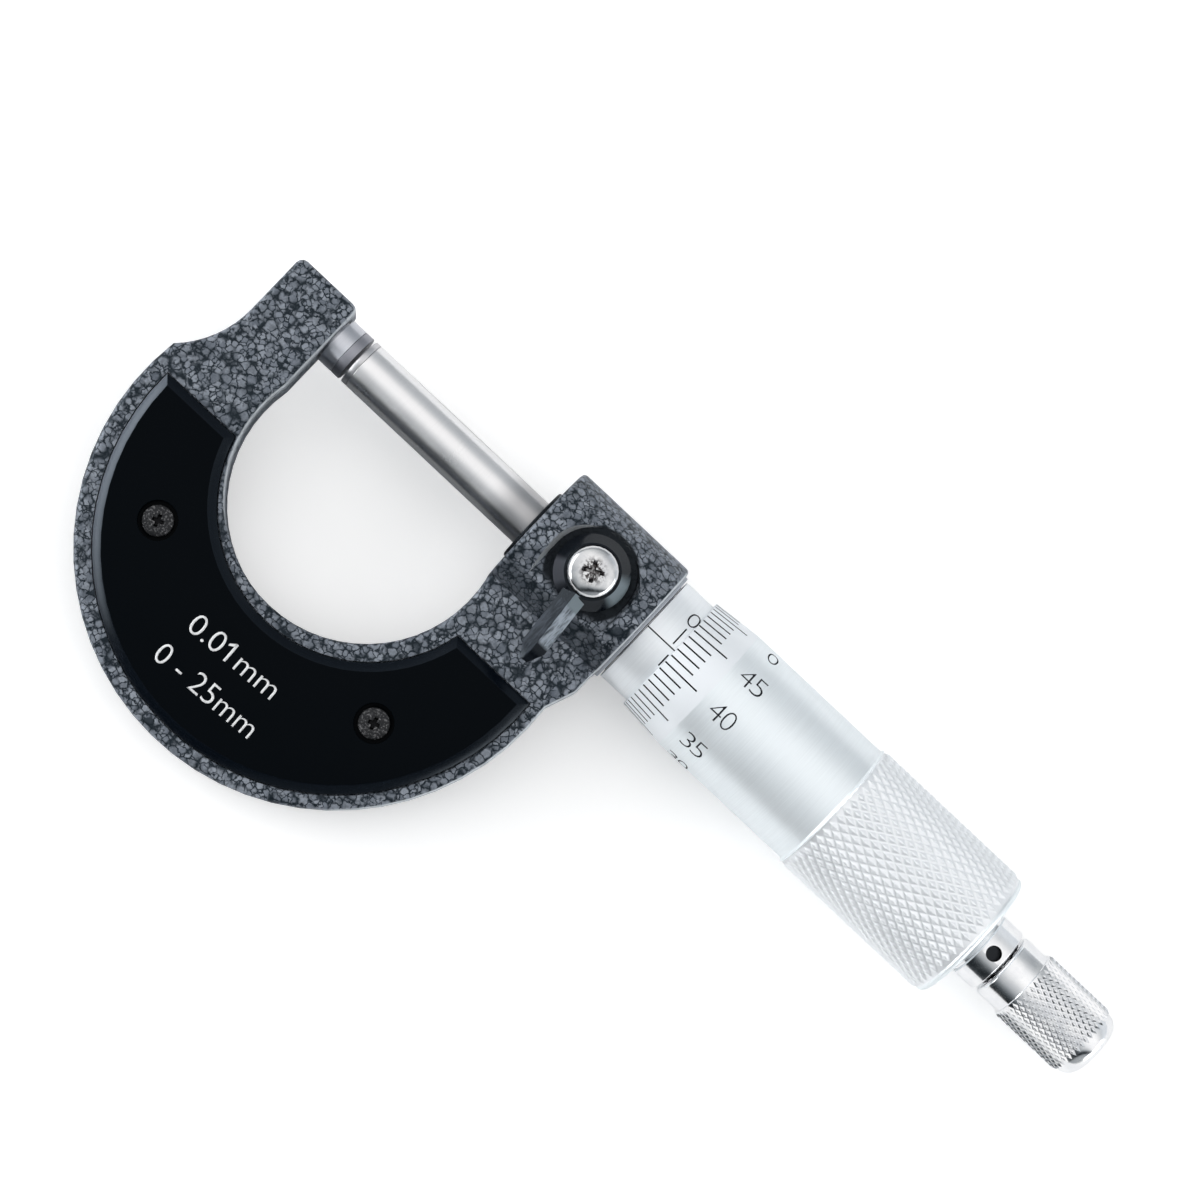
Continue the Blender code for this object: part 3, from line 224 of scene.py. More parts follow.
# Darker than the rod's steel: a painted reflection of the dark arm beside the anvil
ANVIL_STEEL_ARM_REFLECTION = (0.55, 0.565, 0.61)
ANVIL_CARBIDE = (0.30, 0.305, 0.34)
SPINDLE_CARBIDE = (0.58, 0.58, 0.60)
PAD_BRASS = (0.72, 0.53, 0.24)
CHROME_DULL = (0.80, 0.81, 0.83)
CHROME_BRIGHT = (0.88, 0.885, 0.895)
# Painted shade inside the spanner hole
HOLE_SHADE = (0.02, 0.022, 0.025)
LINE_INK = (0.009, 0.010, 0.013)
NUMBER_INK = (0.03, 0.032, 0.037)
LETTER_WHITE = (0.78, 0.79, 0.80)

# Camera
CAMERA_X = 27.6
CAMERA_BELOW_AXIS = 1.08
CAMERA_DISTANCE = 450.0
CAMERA_TILT = 4.5
CAMERA_ROLL = 43.2
PHOTO_WIDTH = 147.2
SENSOR = 36.0

# Light tent: degrees from straight up towards the ring's side, and brightness
TENT_LEVELS = ((-110, 0.62), (-97, 0.42), (-80, 0.38), (-65, 0.48), (-50, 0.72), (-36, 1.04), (-26, 1.15),
               (-4, 1.13), (8, 1.0), (19, 0.82), (29, 0.66), (40, 0.5), (50, 0.28), (60, 0.11), (71, 0.03),
               (81, 0.015), (103, 0.015), (115, 0.15), (130, 0.4))
TENT_WARMTH = (1.06, 1.0, 0.96)
TENT_FLOOR = (0.7, 0.7, 0.7)
# The bands turn away from the ring towards the ratchet's end, by so many degrees
TENT_SKEW = 230.0
TENT_SKEW_START = 0.04
TENT_SKEW_FULL = 60.0
# Beyond these degrees and towards the ratchet's end the tent is pale
FAR_SIDE = (-40.0, -75.0)
FAR_EAST = (-0.03, 0.1)
FAR_SHARE = 0.75
FAR_LIGHT = (0.95, 0.99, 1.03)
# Windows: heading, half width, lowest and highest rise, brightness
WINDOWS = ((204.0, 30.0, 0.18, 0.46, 8.5), (0.0, 24.0, -0.3, 0.26, 5.0))
WINDOW_EDGE = 7.0
WINDOW_SOFTNESS = 0.05

# Table, tilted so that the thimble and the ring's edge both rest on it
TABLE_SIZE = 3000.0
TABLE_GAP = 0.1
TABLE_GLOW = 0.33
TABLE_MIRRORED_GLOW = 0.16
TABLE_DARK = (0.86, 0.86, 0.86)
TABLE_LIGHT = (0.9, 0.9, 0.9)
RING_LOWEST_Y = -48.35
# The opening in the ring, where the table is darker, as painted shade, to the metal that reflects it
OPENING_MIDDLE = (1.0, 26.0)
OPENING_RADIUS = (19.0, 25.0)
OPENING_SHADE = (0.3, 0.31, 0.32)


def make_mesh_object(name, bm, mat, body):
    """A finished piece from a mesh in millimetres, riding on a body."""
    bmesh.ops.remove_doubles(bm, verts=bm.verts, dist=1e-5)
    bmesh.ops.recalc_face_normals(bm, faces=bm.faces)
    bmesh.ops.scale(bm, vec=(MM, MM, MM), verts=bm.verts)
    mesh = bpy.data.meshes.new(name)
    bm.to_mesh(mesh)
    bm.free()
    mesh.materials.append(mat)
    obj = bpy.data.objects.new(name, mesh)
    bpy.context.collection.objects.link(obj)
    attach(obj, body)
    return obj


def smooth_by_angle(obj, degrees):
    """Shades a piece smooth, apart from the edges that turn by more than this."""
    obj.data.shade_smooth()
    obj.data.set_sharp_from_angle(angle=math.radians(degrees))


def spin_profile(bm, profile, steps):
    """Spins (x, radius) points about the X axis."""
    verts = [bm.verts.new((x, 0, r)) for x, r in profile]
    edges = [bm.edges.new(pair) for pair in zip(verts, verts[1:])]
    bmesh.ops.spin(bm, geom=verts + edges, cent=(0, 0, 0), axis=(1, 0, 0), angle=2 * math.pi,
                   steps=steps, use_merge=True)


def arc_points(center, radius, start, end, steps):
    """Points on an arc from one angle to another, in degrees."""
    points = []
    for i in range(steps + 1):
        angle = math.radians(start + (end - start) * i / steps)
        points.append((center[0] + radius * math.cos(angle), center[1] + radius * math.sin(angle)))
    return points


def softened(profile, radius):
    """A closed profile with each corner cut by a small two-step rounding."""
    points = []
    count = len(profile)
    for i, point in enumerate(profile):
        here = Vector(point)
        back = Vector(profile[i - 1]) - here
        ahead = Vector(profile[(i + 1) % count]) - here
        reach = min(radius, back.length * 0.4, ahead.length * 0.4)
        turn = math.pi - back.angle(ahead)
        if turn < math.radians(12):
            points.append(tuple(here))
            continue
        first = here + back.normalized() * reach
        last = here + ahead.normalized() * reach
        middle = (first + last) / 2 * 0.45 + here * 0.55
        points += [tuple(first), tuple(middle), tuple(last)]
    return points


def diamond_knurl(start, pitch, rows, count, valley, depth, inner):
    """A ring with a diamond knurl: a lattice of diamonds, each raised to a blunt pyramid.

    Its two sides reach in to the inner radius, so that they end inside the drum.
    """
    bm = bmesh.new()
    columns = 2 * rows
    profile = [(start + pitch * k / 2, valley) for k in range(columns + 1)]
    spin_profile(bm, profile, count)
    step = 2 * math.pi / count
    odd = [v for v in bm.verts if round((v.co.x - start) / (pitch / 2)) % 2]
    bmesh.ops.rotate(bm, verts=odd, cent=(0, 0, 0), matrix=Matrix.Rotation(step / 2, 3, "X"))
    bmesh.ops.recalc_face_normals(bm, faces=bm.faces)
    bmesh.ops.triangulate(bm, faces=bm.faces, quad_method="SHORT_EDGE")
    across = [e for e in bm.edges if not e.is_boundary and abs(e.verts[0].co.x - e.verts[1].co.x) < 1e-4]
    bmesh.ops.dissolve_edges(bm, edges=across, use_verts=False)
    diamonds = [f for f in bm.faces if len(f.verts) == 4]
    for f in diamonds:
        f.normal_update()
        if f.normal.dot(Vector((0, *f.calc_center_median().yz))) < 0:
            f.normal_flip()
    lean = min(pitch, step * valley) / 2
    for share, rise in DIAMOND_STEPS:
        bmesh.ops.inset_individual(bm, faces=diamonds, thickness=lean * share, depth=depth * rise,
                                   use_even_offset=True)
    edges = [e for e in bm.edges if e.is_boundary]
    for side in (start, start + pitch * rows):
        rim = [e for e in edges if abs(e.verts[0].co.x - side) < 1e-4]
        made = bmesh.ops.extrude_edge_only(bm, edges=rim)["geom"]
        for v in (g for g in made if isinstance(g, bmesh.types.BMVert)):
            v.co.yz *= inner / valley
    return bm


def engraver(radius_at, x_origin, axis_y, axis_z):
    """A function that lays a flat mesh, drawn in millimetres, on a turned surface.

    In the flat drawing x runs along the spindle and y round the part. The angle is counted
    from the front face towards +Y.
    """
    def lay(bm, x, angle):
        for v in bm.verts:
            along = x + v.co.x
            radius = radius_at(along) + v.co.z
            turn = math.radians(angle) + v.co.y / radius
            v.co = (x_origin + along, axis_y + radius * math.sin(turn), axis_z + radius * math.cos(turn))
    return lay


def slice_across(bm, height):
    """Cuts a flat shape into rows, so that it can be bent round a turned surface."""
    rows = max(1, math.ceil(height / INK_SLICE))
    for k in range(1, rows):
        bmesh.ops.bisect_plane(bm, geom=bm.verts[:] + bm.edges[:] + bm.faces[:],
                               plane_co=(0, (k / rows - 0.5) * height, 0), plane_no=(0, 1, 0))


def flat_strip(length, width):
    """A thin slab from x = 0 to length, for one engraved line, inked a little way down."""
    bm = bmesh.new()
    bmesh.ops.create_cube(bm, size=1)
    bmesh.ops.translate(bm, verts=bm.verts, vec=(0.5, 0, -0.5))
    bmesh.ops.scale(bm, verts=bm.verts, vec=(length, width, INK_LIFT + INK_DEPTH))
    bmesh.ops.translate(bm, verts=bm.verts, vec=(0, 0, INK_LIFT))
    slice_across(bm, width)
    return bm


def add_flag(bm, bounds):
    """Gives a figure one, drawn as a plain stroke in these bounds, its slanting flag."""
    left, right, low, high = bounds
    tall = high - low
    thick = right - left
    corners = ((left + 0.2 * thick, high), (left - 0.24 * tall, high - 0.2 * tall),
               (left - 0.24 * tall, high - 0.32 * tall), (left + 0.2 * thick, high - 0.17 * tall))
    bm.faces.new([bm.verts.new((x, y, 0)) for x, y in corners]).normal_update()


def glyph_mesh(text, thinning):
    """The flat outline of one line of lettering, with flags on its figures one."""
    curve = bpy.data.curves.new("lettering", "FONT")
    curve.body = text
    curve.resolution_u = 4
    curve.offset = -thinning
    holder = bpy.data.objects.new("lettering", curve)
    bpy.context.collection.objects.link(holder)
    bpy.context.view_layer.update()
    mesh = bpy.data.meshes.new_from_object(holder)
    bpy.data.objects.remove(holder)
    bm = bmesh.new()
    bm.from_mesh(mesh)
    bpy.data.meshes.remove(mesh)
    bmesh.ops.remove_doubles(bm, verts=bm.verts, dist=1e-6)
    glyphs = []
    left = set(bm.verts)
    while left:
        reached = [left.pop()]
        for v in reached:
            for e in v.link_edges:
                other = e.other_vert(v)
                if other in left:
                    left.remove(other)
                    reached.append(other)
        xs = [v.co.x for v in reached]
        ys = [v.co.y for v in reached]
        glyphs.append((min(xs), max(xs), min(ys), max(ys)))
    for character, bounds in zip(text.replace(" ", ""), sorted(glyphs)):
        if character == "1":
            add_flag(bm, bounds)
    return bm


def flat_text(text, width, height, thinning, bend=True):
    """Lettering centred on the origin, as a thin slab of the given width and height."""
    bm = glyph_mesh(text, thinning)
    low = Vector([min(v.co[i] for v in bm.verts) for i in range(3)])
    high = Vector([max(v.co[i] for v in bm.verts) for i in range(3)])
    bmesh.ops.translate(bm, verts=bm.verts, vec=-(low + high) / 2)
    bmesh.ops.scale(bm, verts=bm.verts, vec=(width / (high.x - low.x), height / (high.y - low.y), 1))
    if bend:
        slice_across(bm, height)
    made = bmesh.ops.extrude_face_region(bm, geom=bm.faces[:])["geom"]
    lower = [g for g in made if isinstance(g, bmesh.types.BMVert)]
    bmesh.ops.translate(bm, verts=lower, vec=(0, 0, -INK_DEPTH - INK_LIFT))
    bmesh.ops.translate(bm, verts=bm.verts, vec=(0, 0, INK_LIFT))
    return bm


def flat_number(value, height):
    """A number centred on the origin, its figures evenly spaced whatever their shapes."""
    widths = [DIGIT_WIDTHS[figure] for figure in str(value)]
    at = -(sum(widths) + DIGIT_GAP * (len(widths) - 1)) / 2
    bm = bmesh.new()
    for figure, width in zip(str(value), widths):
        glyph = flat_text(figure, width, height, NUMBER_THINNING)
        bmesh.ops.translate(glyph, verts=glyph.verts, vec=(at + width / 2, 0, 0))
        absorb(bm, glyph)
        at += width + DIGIT_GAP
    return bm


def absorb(bm, other):
    """Adds another bmesh to bm and frees it."""
    mesh = bpy.data.meshes.new("part")
    other.to_mesh(mesh)
    other.free()
    bm.from_mesh(mesh)
    bpy.data.meshes.remove(mesh)


class Nodes:
    """A small helper to lay out a material's nodes by name."""

    def __init__(self, tree):
        self.tree = tree

    def add(self, kind, inputs=None, **settings):
        """A new node. Its inputs are sockets to link or values to set."""
        made = self.tree.nodes.new(kind)
        for key, value in settings.items():
            setattr(made, key, value)
        for key, value in (inputs or {}).items():
            if isinstance(value, bpy.types.NodeSocket):
                self.tree.links.new(value, made.inputs[key])
            else:
                made.inputs[key].default_value = value
        return made

    def coords(self, scale, offset=(0, 0, 0)):
        """Object coordinates in units of 1 / scale millimetres."""
        source = self.add("ShaderNodeTexCoord").outputs["Object"]
        factors = [s / MM for s in scale] if hasattr(scale, "__len__") else [scale / MM] * 3
        inputs = {"Vector": source, "Scale": factors, "Location": offset}
        return self.add("ShaderNodeMapping", inputs).outputs[0]

    def spot(self):
        """Where the surface is: x, y and z in millimetres."""
        return self.add("ShaderNodeSeparateXYZ", {0: self.coords(1.0)}).outputs

    def facing(self):
        """The way the surface faces: x, y and z in the piece's own axes."""
        normal = self.add("ShaderNodeTexCoord").outputs["Normal"]
        return self.add("ShaderNodeSeparateXYZ", {0: normal}).outputs

    def noise(self, vector, scale=1.0, detail=3.0, roughness=0.5):
        made = self.add("ShaderNodeTexNoise", {"Vector": vector, "Scale": scale, "Detail": detail,
                                               "Roughness": roughness})
        return made.outputs["Fac"]

    def ramp(self, value, low, high, to_low=0.0, to_high=1.0):
        """Smoothly maps low..high to to_low..to_high."""
        made = self.add("ShaderNodeMapRange", {"Value": value, "From Min": low, "From Max": high,
                                               "To Min": to_low, "To Max": to_high},
                        interpolation_type="SMOOTHSTEP")
        return made.outputs["Result"]

    def fall(self, value, low, high):
        """Smoothly falls from 1 at low to 0 at high."""
        return self.ramp(value, low, high, 1.0, 0.0)

    def math(self, operation, a, b=0.0):
        return self.add("ShaderNodeMath", {0: a, 1: b}, operation=operation).outputs[0]

    def difference(self, a, b):
        return self.math("SUBTRACT", a, b)

    def product(self, first, *others):
        for other in others:
            first = self.math("MULTIPLY", first, other)
        return first

    def length(self, a, b):
        return self.math("SQRT", self.math("ADD", self.product(a, a), self.product(b, b)))

    def blend(self, factor, a, b):
        """Mixes two numbers."""
        return self.add("ShaderNodeMix", {0: factor, 2: a, 3: b}).outputs[0]

    def mix(self, factor, a, b):
        """Mixes two colours."""
        made = self.add("ShaderNodeMix", {"Factor": factor}, data_type="RGBA")
        for socket, value in ((made.inputs[6], a), (made.inputs[7], b)):
            if isinstance(value, bpy.types.NodeSocket):
                self.tree.links.new(value, socket)
            else:
                socket.default_value = (*value, 1)
        return made.outputs[2]

    def bump(self, height, strength, distance):
        inputs = {"Height": height, "Strength": strength, "Distance": distance * MM}
        return self.add("ShaderNodeBump", inputs).outputs[0]

    def axis_direction(self):
        """The spindle's direction, tipped a little so that no end face lies square to it."""
        return self.add("ShaderNodeCombineXYZ", {"X": 1.0, "Y": 0.02, "Z": 0.01}).outputs[0]


def new_material(name):
    """A material with its node helper and its shader."""
    mat = bpy.data.materials.new(name)
    mat.use_nodes = True
    shader = mat.node_tree.nodes["Principled BSDF"]
    return mat, Nodes(mat.node_tree), shader


def connect(nodes, shader, **values):
    """Sets the shader's sockets, whose names have underscores for spaces."""
    for key, value in values.items():
        socket = shader.inputs[key.replace("_", " ")]
        if isinstance(value, bpy.types.NodeSocket):
            nodes.tree.links.new(value, socket)
        elif socket.type == "RGBA":
            socket.default_value = (*value, 1)
        else:
            socket.default_value = value


def pebbles(n, place):
    """Rounded cells of two sizes. Returns how much of a pebble a point has, and the pebble's tone."""
    warp = n.add("ShaderNodeTexNoise", {"Vector": place, "Scale": PEBBLE_SWAY_SCALE, "Detail": 2.0})
    halves = {0: warp.outputs["Color"], 1: (0.5, 0.5, 0.5)}
    centred = n.add("ShaderNodeVectorMath", halves, operation="SUBTRACT").outputs[0]
    sway = n.add("ShaderNodeVectorMath", {0: centred, "Scale": PEBBLE_SWAY}, operation="SCALE").outputs[0]
    cell = n.add("ShaderNodeVectorMath", {0: place, 1: sway}, operation="ADD").outputs[0]
    layers = []
    for scale, rim in PEBBLE_SIZES:
        made = {"Vector": cell, "Scale": scale, "Randomness": PEBBLE_SCATTER}
        edge = n.add("ShaderNodeTexVoronoi", made, feature="DISTANCE_TO_EDGE")
        near = n.add("ShaderNodeTexVoronoi", made, feature="F1")
        inside = n.ramp(edge.outputs["Distance"], 0.015, rim)
        rounded = n.ramp(near.outputs["Distance"], 0.42, 0.78, 1.0, 0.12)
        tone = n.add("ShaderNodeSeparateColor", {0: near.outputs["Color"]}).outputs[0]
        layers.append((n.product(inside, rounded), tone))
    choice = n.ramp(n.noise(place, 0.5, 2.0), 0.44, 0.56)
    return [n.blend(choice, large, small) for large, small in zip(*layers)]


def black_mask(n, x, height, along, reach):
    """1 in the lock's recess and on the boss the rod comes out of: nearly black, partly enamel, partly
    painted shade.
    """
    floor = n.product(n.fall(height, *WELL_FLOOR), n.ramp(height, *WELL_BOTTOM))
    well = n.product(floor, n.fall(reach, *WELL_RADIUS), n.ramp(along, *WELL_LOWER_EDGE))
    depths = [HEAD_LEFT - depth for depth in BOSS_DEPTH]
    side = n.product(n.fall(x, HEAD_LEFT - 0.05, HEAD_LEFT + 0.02), n.ramp(x, *depths))
    boss = n.product(side, n.fall(n.math("ABSOLUTE", along), *BOSS_RADIUS))
    return n.math("MAXIMUM", well, boss)


def worn_mask(n, place, facing, height):
    """A painted highlight on edges and walls that face the ratchet's end."""
    east, up = facing[0], facing[2]
    edge = n.product(n.ramp(east, 0.45, 0.7), n.ramp(up, 0.1, 0.3), n.fall(up, 0.6, 0.8))
    wall = n.product(n.ramp(east, 0.5, 0.85), n.ramp(up, 0.3, 0.1), n.ramp(height, *WALL_HIGHLIGHT_HEIGHT), 0.85)
    uneven = n.ramp(n.noise(place, 0.8), 0.25, 0.5, 0.6, 1.0)
    return n.product(n.math("MAXIMUM", edge, wall), uneven)


def hammertone_paint(lock_x, axis_y, axis_z):
    """Grey hammered enamel: rounded pebbles of light flake in a dark, uneven network.

    The recess round the lock and the boss on the spindle's side are nearly black, partly dark enamel
    and partly painted shade. The head's underside has painted shade, edges and walls that face the
    ratchet's end have a painted highlight, and the step beside the sleeve is bare of pebbles and
    painted lighter grey as a highlight.
    """
    mat, n, shader = new_material("hammertone_enamel")
    place = n.coords(1.0)
    pebble, tone = pebbles(n, place)
    patch = n.ramp(n.noise(place, 0.5, 3.0, 0.6), 0.32, 0.5, 0.62, 1.0)
    fleck = n.ramp(n.noise(place, 4.5), 0.3, 0.7, 0.8, 1.06)
    missing = n.ramp(tone, 0.0, 0.035)
    light = n.product(pebble, patch, fleck, missing)
    color = n.mix(light, ENAMEL_GROUND, n.mix(tone, PEBBLE_DARK, PEBBLE_LIGHT))

    x, y, z = n.spot()
    facing = n.facing()
    along = n.difference(y, axis_y)
    height = n.difference(z, axis_z)
    reach = n.length(n.difference(x, lock_x), along)
    # Painted shade: the enamel darkens to its ground where the head's underside faces the ring
    under = n.product(n.ramp(facing[1], -0.3, -0.75), n.ramp(x, *HEAD_SHADE_X),
                      n.ramp(along, *HEAD_UNDERSIDE_SHADE), 0.6)
    color = n.mix(under, color, ENAMEL_GROUND)
    # Nearly black in the lock's recess and on the boss: partly dark enamel, partly painted shade
    color = n.mix(black_mask(n, x, height, along, reach), color, ENAMEL_BLACK_AND_SHADE)
    # Painted highlight on edges and walls that face the ratchet's end
    color = n.mix(worn_mask(n, place, facing, height), color, EDGE_HIGHLIGHT)
    # The step beside the sleeve: bare of pebbles, and painted lighter grey as a highlight
    bare = n.ramp(x, HEAD_STEP + 0.02, HEAD_STEP + 0.06)
    color = n.mix(bare, color, BARE_STEP_HIGHLIGHT)
    relief = n.math("ADD", n.product(pebble, n.difference(1.0, bare)), n.product(n.noise(place, 9.0), 0.15))
    connect(n, shader, Base_Color=color, Metallic=0.15, Roughness=n.ramp(light, 0, 1, 0.38, 0.46),
            Specular_IOR_Level=0.25, Specular_Tint=COOL_SHINE, Normal=n.bump(relief, 0.6, 0.08))
    return mat


def turned_metal(name, color, roughness, ring_depth, metallic=1.0, stretch=0.6, ring_scale=9.0, zones=()):
    """Bright metal with fine rings left by turning or grinding about the spindle's axis.

    The rings spread the shine along the axis. Each zone is (from x, to x, fade, colour, metallic).
    """
    mat, n, shader = new_material(name)
    rings = n.noise(n.coords((ring_scale, 0.15, 0.15)), 1.0, 4.0, 0.65)
    clouds = n.ramp(n.noise(n.coords(0.2)), 0.3, 0.7, roughness - 0.03, roughness + 0.03)
    specks = n.product(n.noise(n.coords(14.0), 1.0, 2.0), 0.04)
    tint = n.mix(n.ramp(rings, 0.35, 0.65), [c * 0.95 for c in color], color)
    x = n.spot()[0]
    for low, high, fade, zone_color, zone_metallic in zones:
        inside = n.product(n.ramp(x, low - fade, low), n.fall(x, high, high + 0.05))
        tint = n.mix(inside, tint, zone_color)
        metallic = n.blend(inside, metallic, zone_metallic)
    connect(n, shader, Base_Color=tint, Metallic=metallic, Roughness=n.math("ADD", clouds, specks),
            Anisotropic=stretch, Tangent=n.axis_direction(), Normal=n.bump(rings, 0.2, ring_depth))
    return mat


def turned_chrome(hole):
    """Bright turned chrome, a little smudged. The hole is (x, y, z), with painted shade below its rim."""
    mat, n, shader = new_material("turned_chrome")
    smudges = n.noise(n.coords(0.6), 1.0, 4.0)
    rings = n.noise(n.coords((12.0, 0.2, 0.2)))
    color = n.mix(n.ramp(smudges, 0.35, 0.7), CHROME_DULL, CHROME_BRIGHT)
    x, y, z = n.spot()
    hole_x, hole_y, rim = hole
    bottom = rim - SPANNER_HOLE_DEPTH
    reach = n.length(n.difference(x, hole_x), n.difference(y, hole_y))
    painted_hole_shade = n.product(n.fall(reach, SPANNER_HOLE_RADIUS + 0.02, SPANNER_HOLE_RADIUS + 0.06),
                     n.fall(z, rim - 0.35, rim - 0.1), n.ramp(z, bottom, bottom + 0.1))
    connect(n, shader, Base_Color=n.mix(painted_hole_shade, color, HOLE_SHADE), Metallic=1.0,
            Roughness=n.ramp(smudges, 0.3, 0.75, 0.12, 0.2), Anisotropic=0.4, Tangent=n.axis_direction(),
            Normal=n.bump(rings, 0.12, 0.004))
    return mat


def black_plate():
    """Smooth black plate with a very fine grain and a few hair scratches."""
    mat, n, shader = new_material("plate_black")
    grain = n.noise(n.coords(7.0))
    clouds = n.ramp(n.noise(n.coords(0.12)), 0.3, 0.7, 0.3, 0.38)
    scratches = n.ramp(n.noise(n.coords((0.25, 6.0, 1.0), (3, 1, 0)), 1.0, 2.0), 0.62, 0.72, 0.0, 0.1)
    connect(n, shader, Base_Color=n.mix(grain, PLATE_DARK, PLATE_PALE), Specular_IOR_Level=0.03,
            Roughness=n.math("ADD", clouds, scratches), Normal=n.bump(grain, 0.1, 0.02))
    return mat


def plate_bevel():
    """The plate's chamfer, a little glossier than its face, with a painted grey highlight on its outer left
    side.
    """
    mat, n, shader = new_material("plate_chamfer")
    lines = n.noise(n.coords((1.2, 1.2, 9.0)))
    chamfer_highlight = n.product(n.ramp(n.facing()[0], -0.25, -0.6), n.ramp(n.spot()[0], *CHAMFER_HIGHLIGHT_X))
    color = n.mix(chamfer_highlight, n.mix(lines, CHAMFER_DARK, CHAMFER_PALE), CHAMFER_HIGHLIGHT)
    connect(n, shader, Base_Color=color, Roughness=n.ramp(lines, 0.3, 0.7, 0.2, 0.28),
            Specular_IOR_Level=0.16, Specular_Tint=COOL_SHINE, Normal=n.bump(lines, 0.1, 0.02))
    return mat


def black_lacquer(axis_y):
    """Glossy black on cast metal, with painted grey reflections on the finger's two slopes and two sides of
    the hub.
    """
    mat, n, shader = new_material("lever_lacquer")
    along = n.difference(n.spot()[1], axis_y)
    east, north, up = n.facing()
    streaks = n.noise(n.coords((2.6, 0.5, 1.0), (2, 4, 0)), 1.0, 4.0, 0.6)
    finger = n.fall(along, *FINGER_START)
    # Painted reflections on the finger: a streaked highlight on its right slope, a faint sheen on its left
    right = n.product(n.ramp(east, 0.3, 0.5), n.ramp(up, 0.3, 0.5), finger, n.ramp(along, *FINGER_HIGHLIGHT_END),
                      n.ramp(streaks, 0.3, 0.62, 0.15, 1.0))
    left = n.product(n.ramp(east, -0.3, -0.5), finger, n.ramp(streaks, 0.4, 0.66, 0.1, 1.0))
    # Painted reflections on the hub's cone: bright on its right, dull on its lower left
    cone = n.product(n.ramp(up, 0.25, 0.35), n.fall(up, 0.9, 0.97), n.ramp(along, *HUB_LOWER_EDGE))
    heading = n.math("ARCTAN2", north, east)
    bright = n.product(cone, n.ramp(heading, -0.5, -0.15), n.fall(heading, 0.3, 0.75))
    dull = n.product(cone, n.ramp(heading, -2.95, -2.7), n.fall(heading, -2.2, -1.9))
    color = LACQUER_BLACK
    for share, tone in ((right, FINGER_RIGHT_HIGHLIGHT), (left, FINGER_LEFT_REFLECTION), (bright, HUB_BRIGHT_REFLECTION), (dull, HUB_DULL_REFLECTION)):
        color = n.mix(share, color, tone)
    grain = n.noise(n.coords(5.0))
    connect(n, shader, Base_Color=color, Roughness=n.ramp(streaks, 0.3, 0.7, 0.1, 0.22),
            Specular_IOR_Level=0.16, Specular_Tint=COOL_SHINE, Coat_Weight=0.06, Coat_Roughness=0.06,
            Coat_Tint=COOL_SHINE, Normal=n.bump(grain, 0.15, 0.03))
    return mat


def screw_reach(n, middle):
    """How far a point is from a screw's middle. Screws on the left and on the right count as one."""
    x, y = n.spot()[:2]
    return n.length(n.difference(n.math("ABSOLUTE", x), middle[0]), n.difference(y, middle[1]))


def recess_mask(n, reach, middle_z, top, dome, radius):
    """1 inside the cross cut in a domed screw head, 0 on the dome. The top is counted from middle_z."""
    share = n.math("DIVIDE", reach, radius)
    surface = n.difference(top, n.product(share, share, dome))
    depth = n.difference(surface, n.math("ABSOLUTE", n.difference(n.spot()[2], middle_z)))
    return n.product(n.ramp(depth, 0.1, 0.2), n.fall(reach, radius * 0.66, radius * 0.72))


def black_oxide(middle, top):
    """Blackened screw steel with bright specks where the oxide is thin, and painted shade in its cross."""
    mat, n, shader = new_material("blackened_steel")
    specks = n.ramp(n.noise(n.coords(3.4), 1.0, 4.0, 0.7), 0.5, 0.66)
    cross = recess_mask(n, screw_reach(n, middle), middle[2], top, PLATE_SCREW_DOME, PLATE_SCREW_RADIUS)
    color = n.mix(cross, n.mix(specks, OXIDE_DARK, OXIDE_THIN), OXIDE_CROSS_SHADE)
    connect(n, shader, Base_Color=color, Metallic=0.8, Roughness=n.ramp(specks, 0, 1, 0.42, 0.28),
            Normal=n.bump(specks, 0.35, 0.04))
    return mat


def screw_chrome(middle, top):
    """Bright chrome on the lever's screw: mottled painted shade in its cross, and dark blots round its
    middle.
    """
    mat, n, shader = new_material("screw_chrome")
    reach = screw_reach(n, middle)
    cross = recess_mask(n, reach, middle[2], top, LOCK_SCREW_DOME, LOCK_SCREW_RADIUS)
    blots = n.noise(n.coords(1.5, (1, 5, 2)), 1.0, 4.0, 0.7)
    around = n.product(n.fall(reach, 0.9, 2.1), n.ramp(blots, 0.42, 0.56))
    dark = n.math("MAXIMUM", n.product(cross, n.ramp(blots, 0.3, 0.6, 1.0, 0.55)), around)
    smudges = n.noise(n.coords(0.6), 1.0, 4.0)
    color = n.mix(n.ramp(smudges, 0.35, 0.7), DOME_DULL, DOME_BRIGHT)
    connect(n, shader, Base_Color=n.mix(dark, color, DOME_CROSS_SHADE_AND_BLOTS), Metallic=1.0,
            Roughness=n.ramp(smudges, 0.3, 0.75, 0.14, 0.24), Normal=n.bump(blots, 0.25, 0.03))
    return mat


def printed(name, color, roughness, specular):
    """Ink or paint in engraving, a little uneven in tone."""
    mat, n, shader = new_material(name)
    uneven = n.noise(n.coords(5.0))
    tone = n.mix(uneven, [c * 0.85 for c in color], color)
    connect(n, shader, Base_Color=tone, Specular_IOR_Level=specular,
            Roughness=n.ramp(uneven, 0.3, 0.7, roughness - 0.05, roughness + 0.05))
    return mat


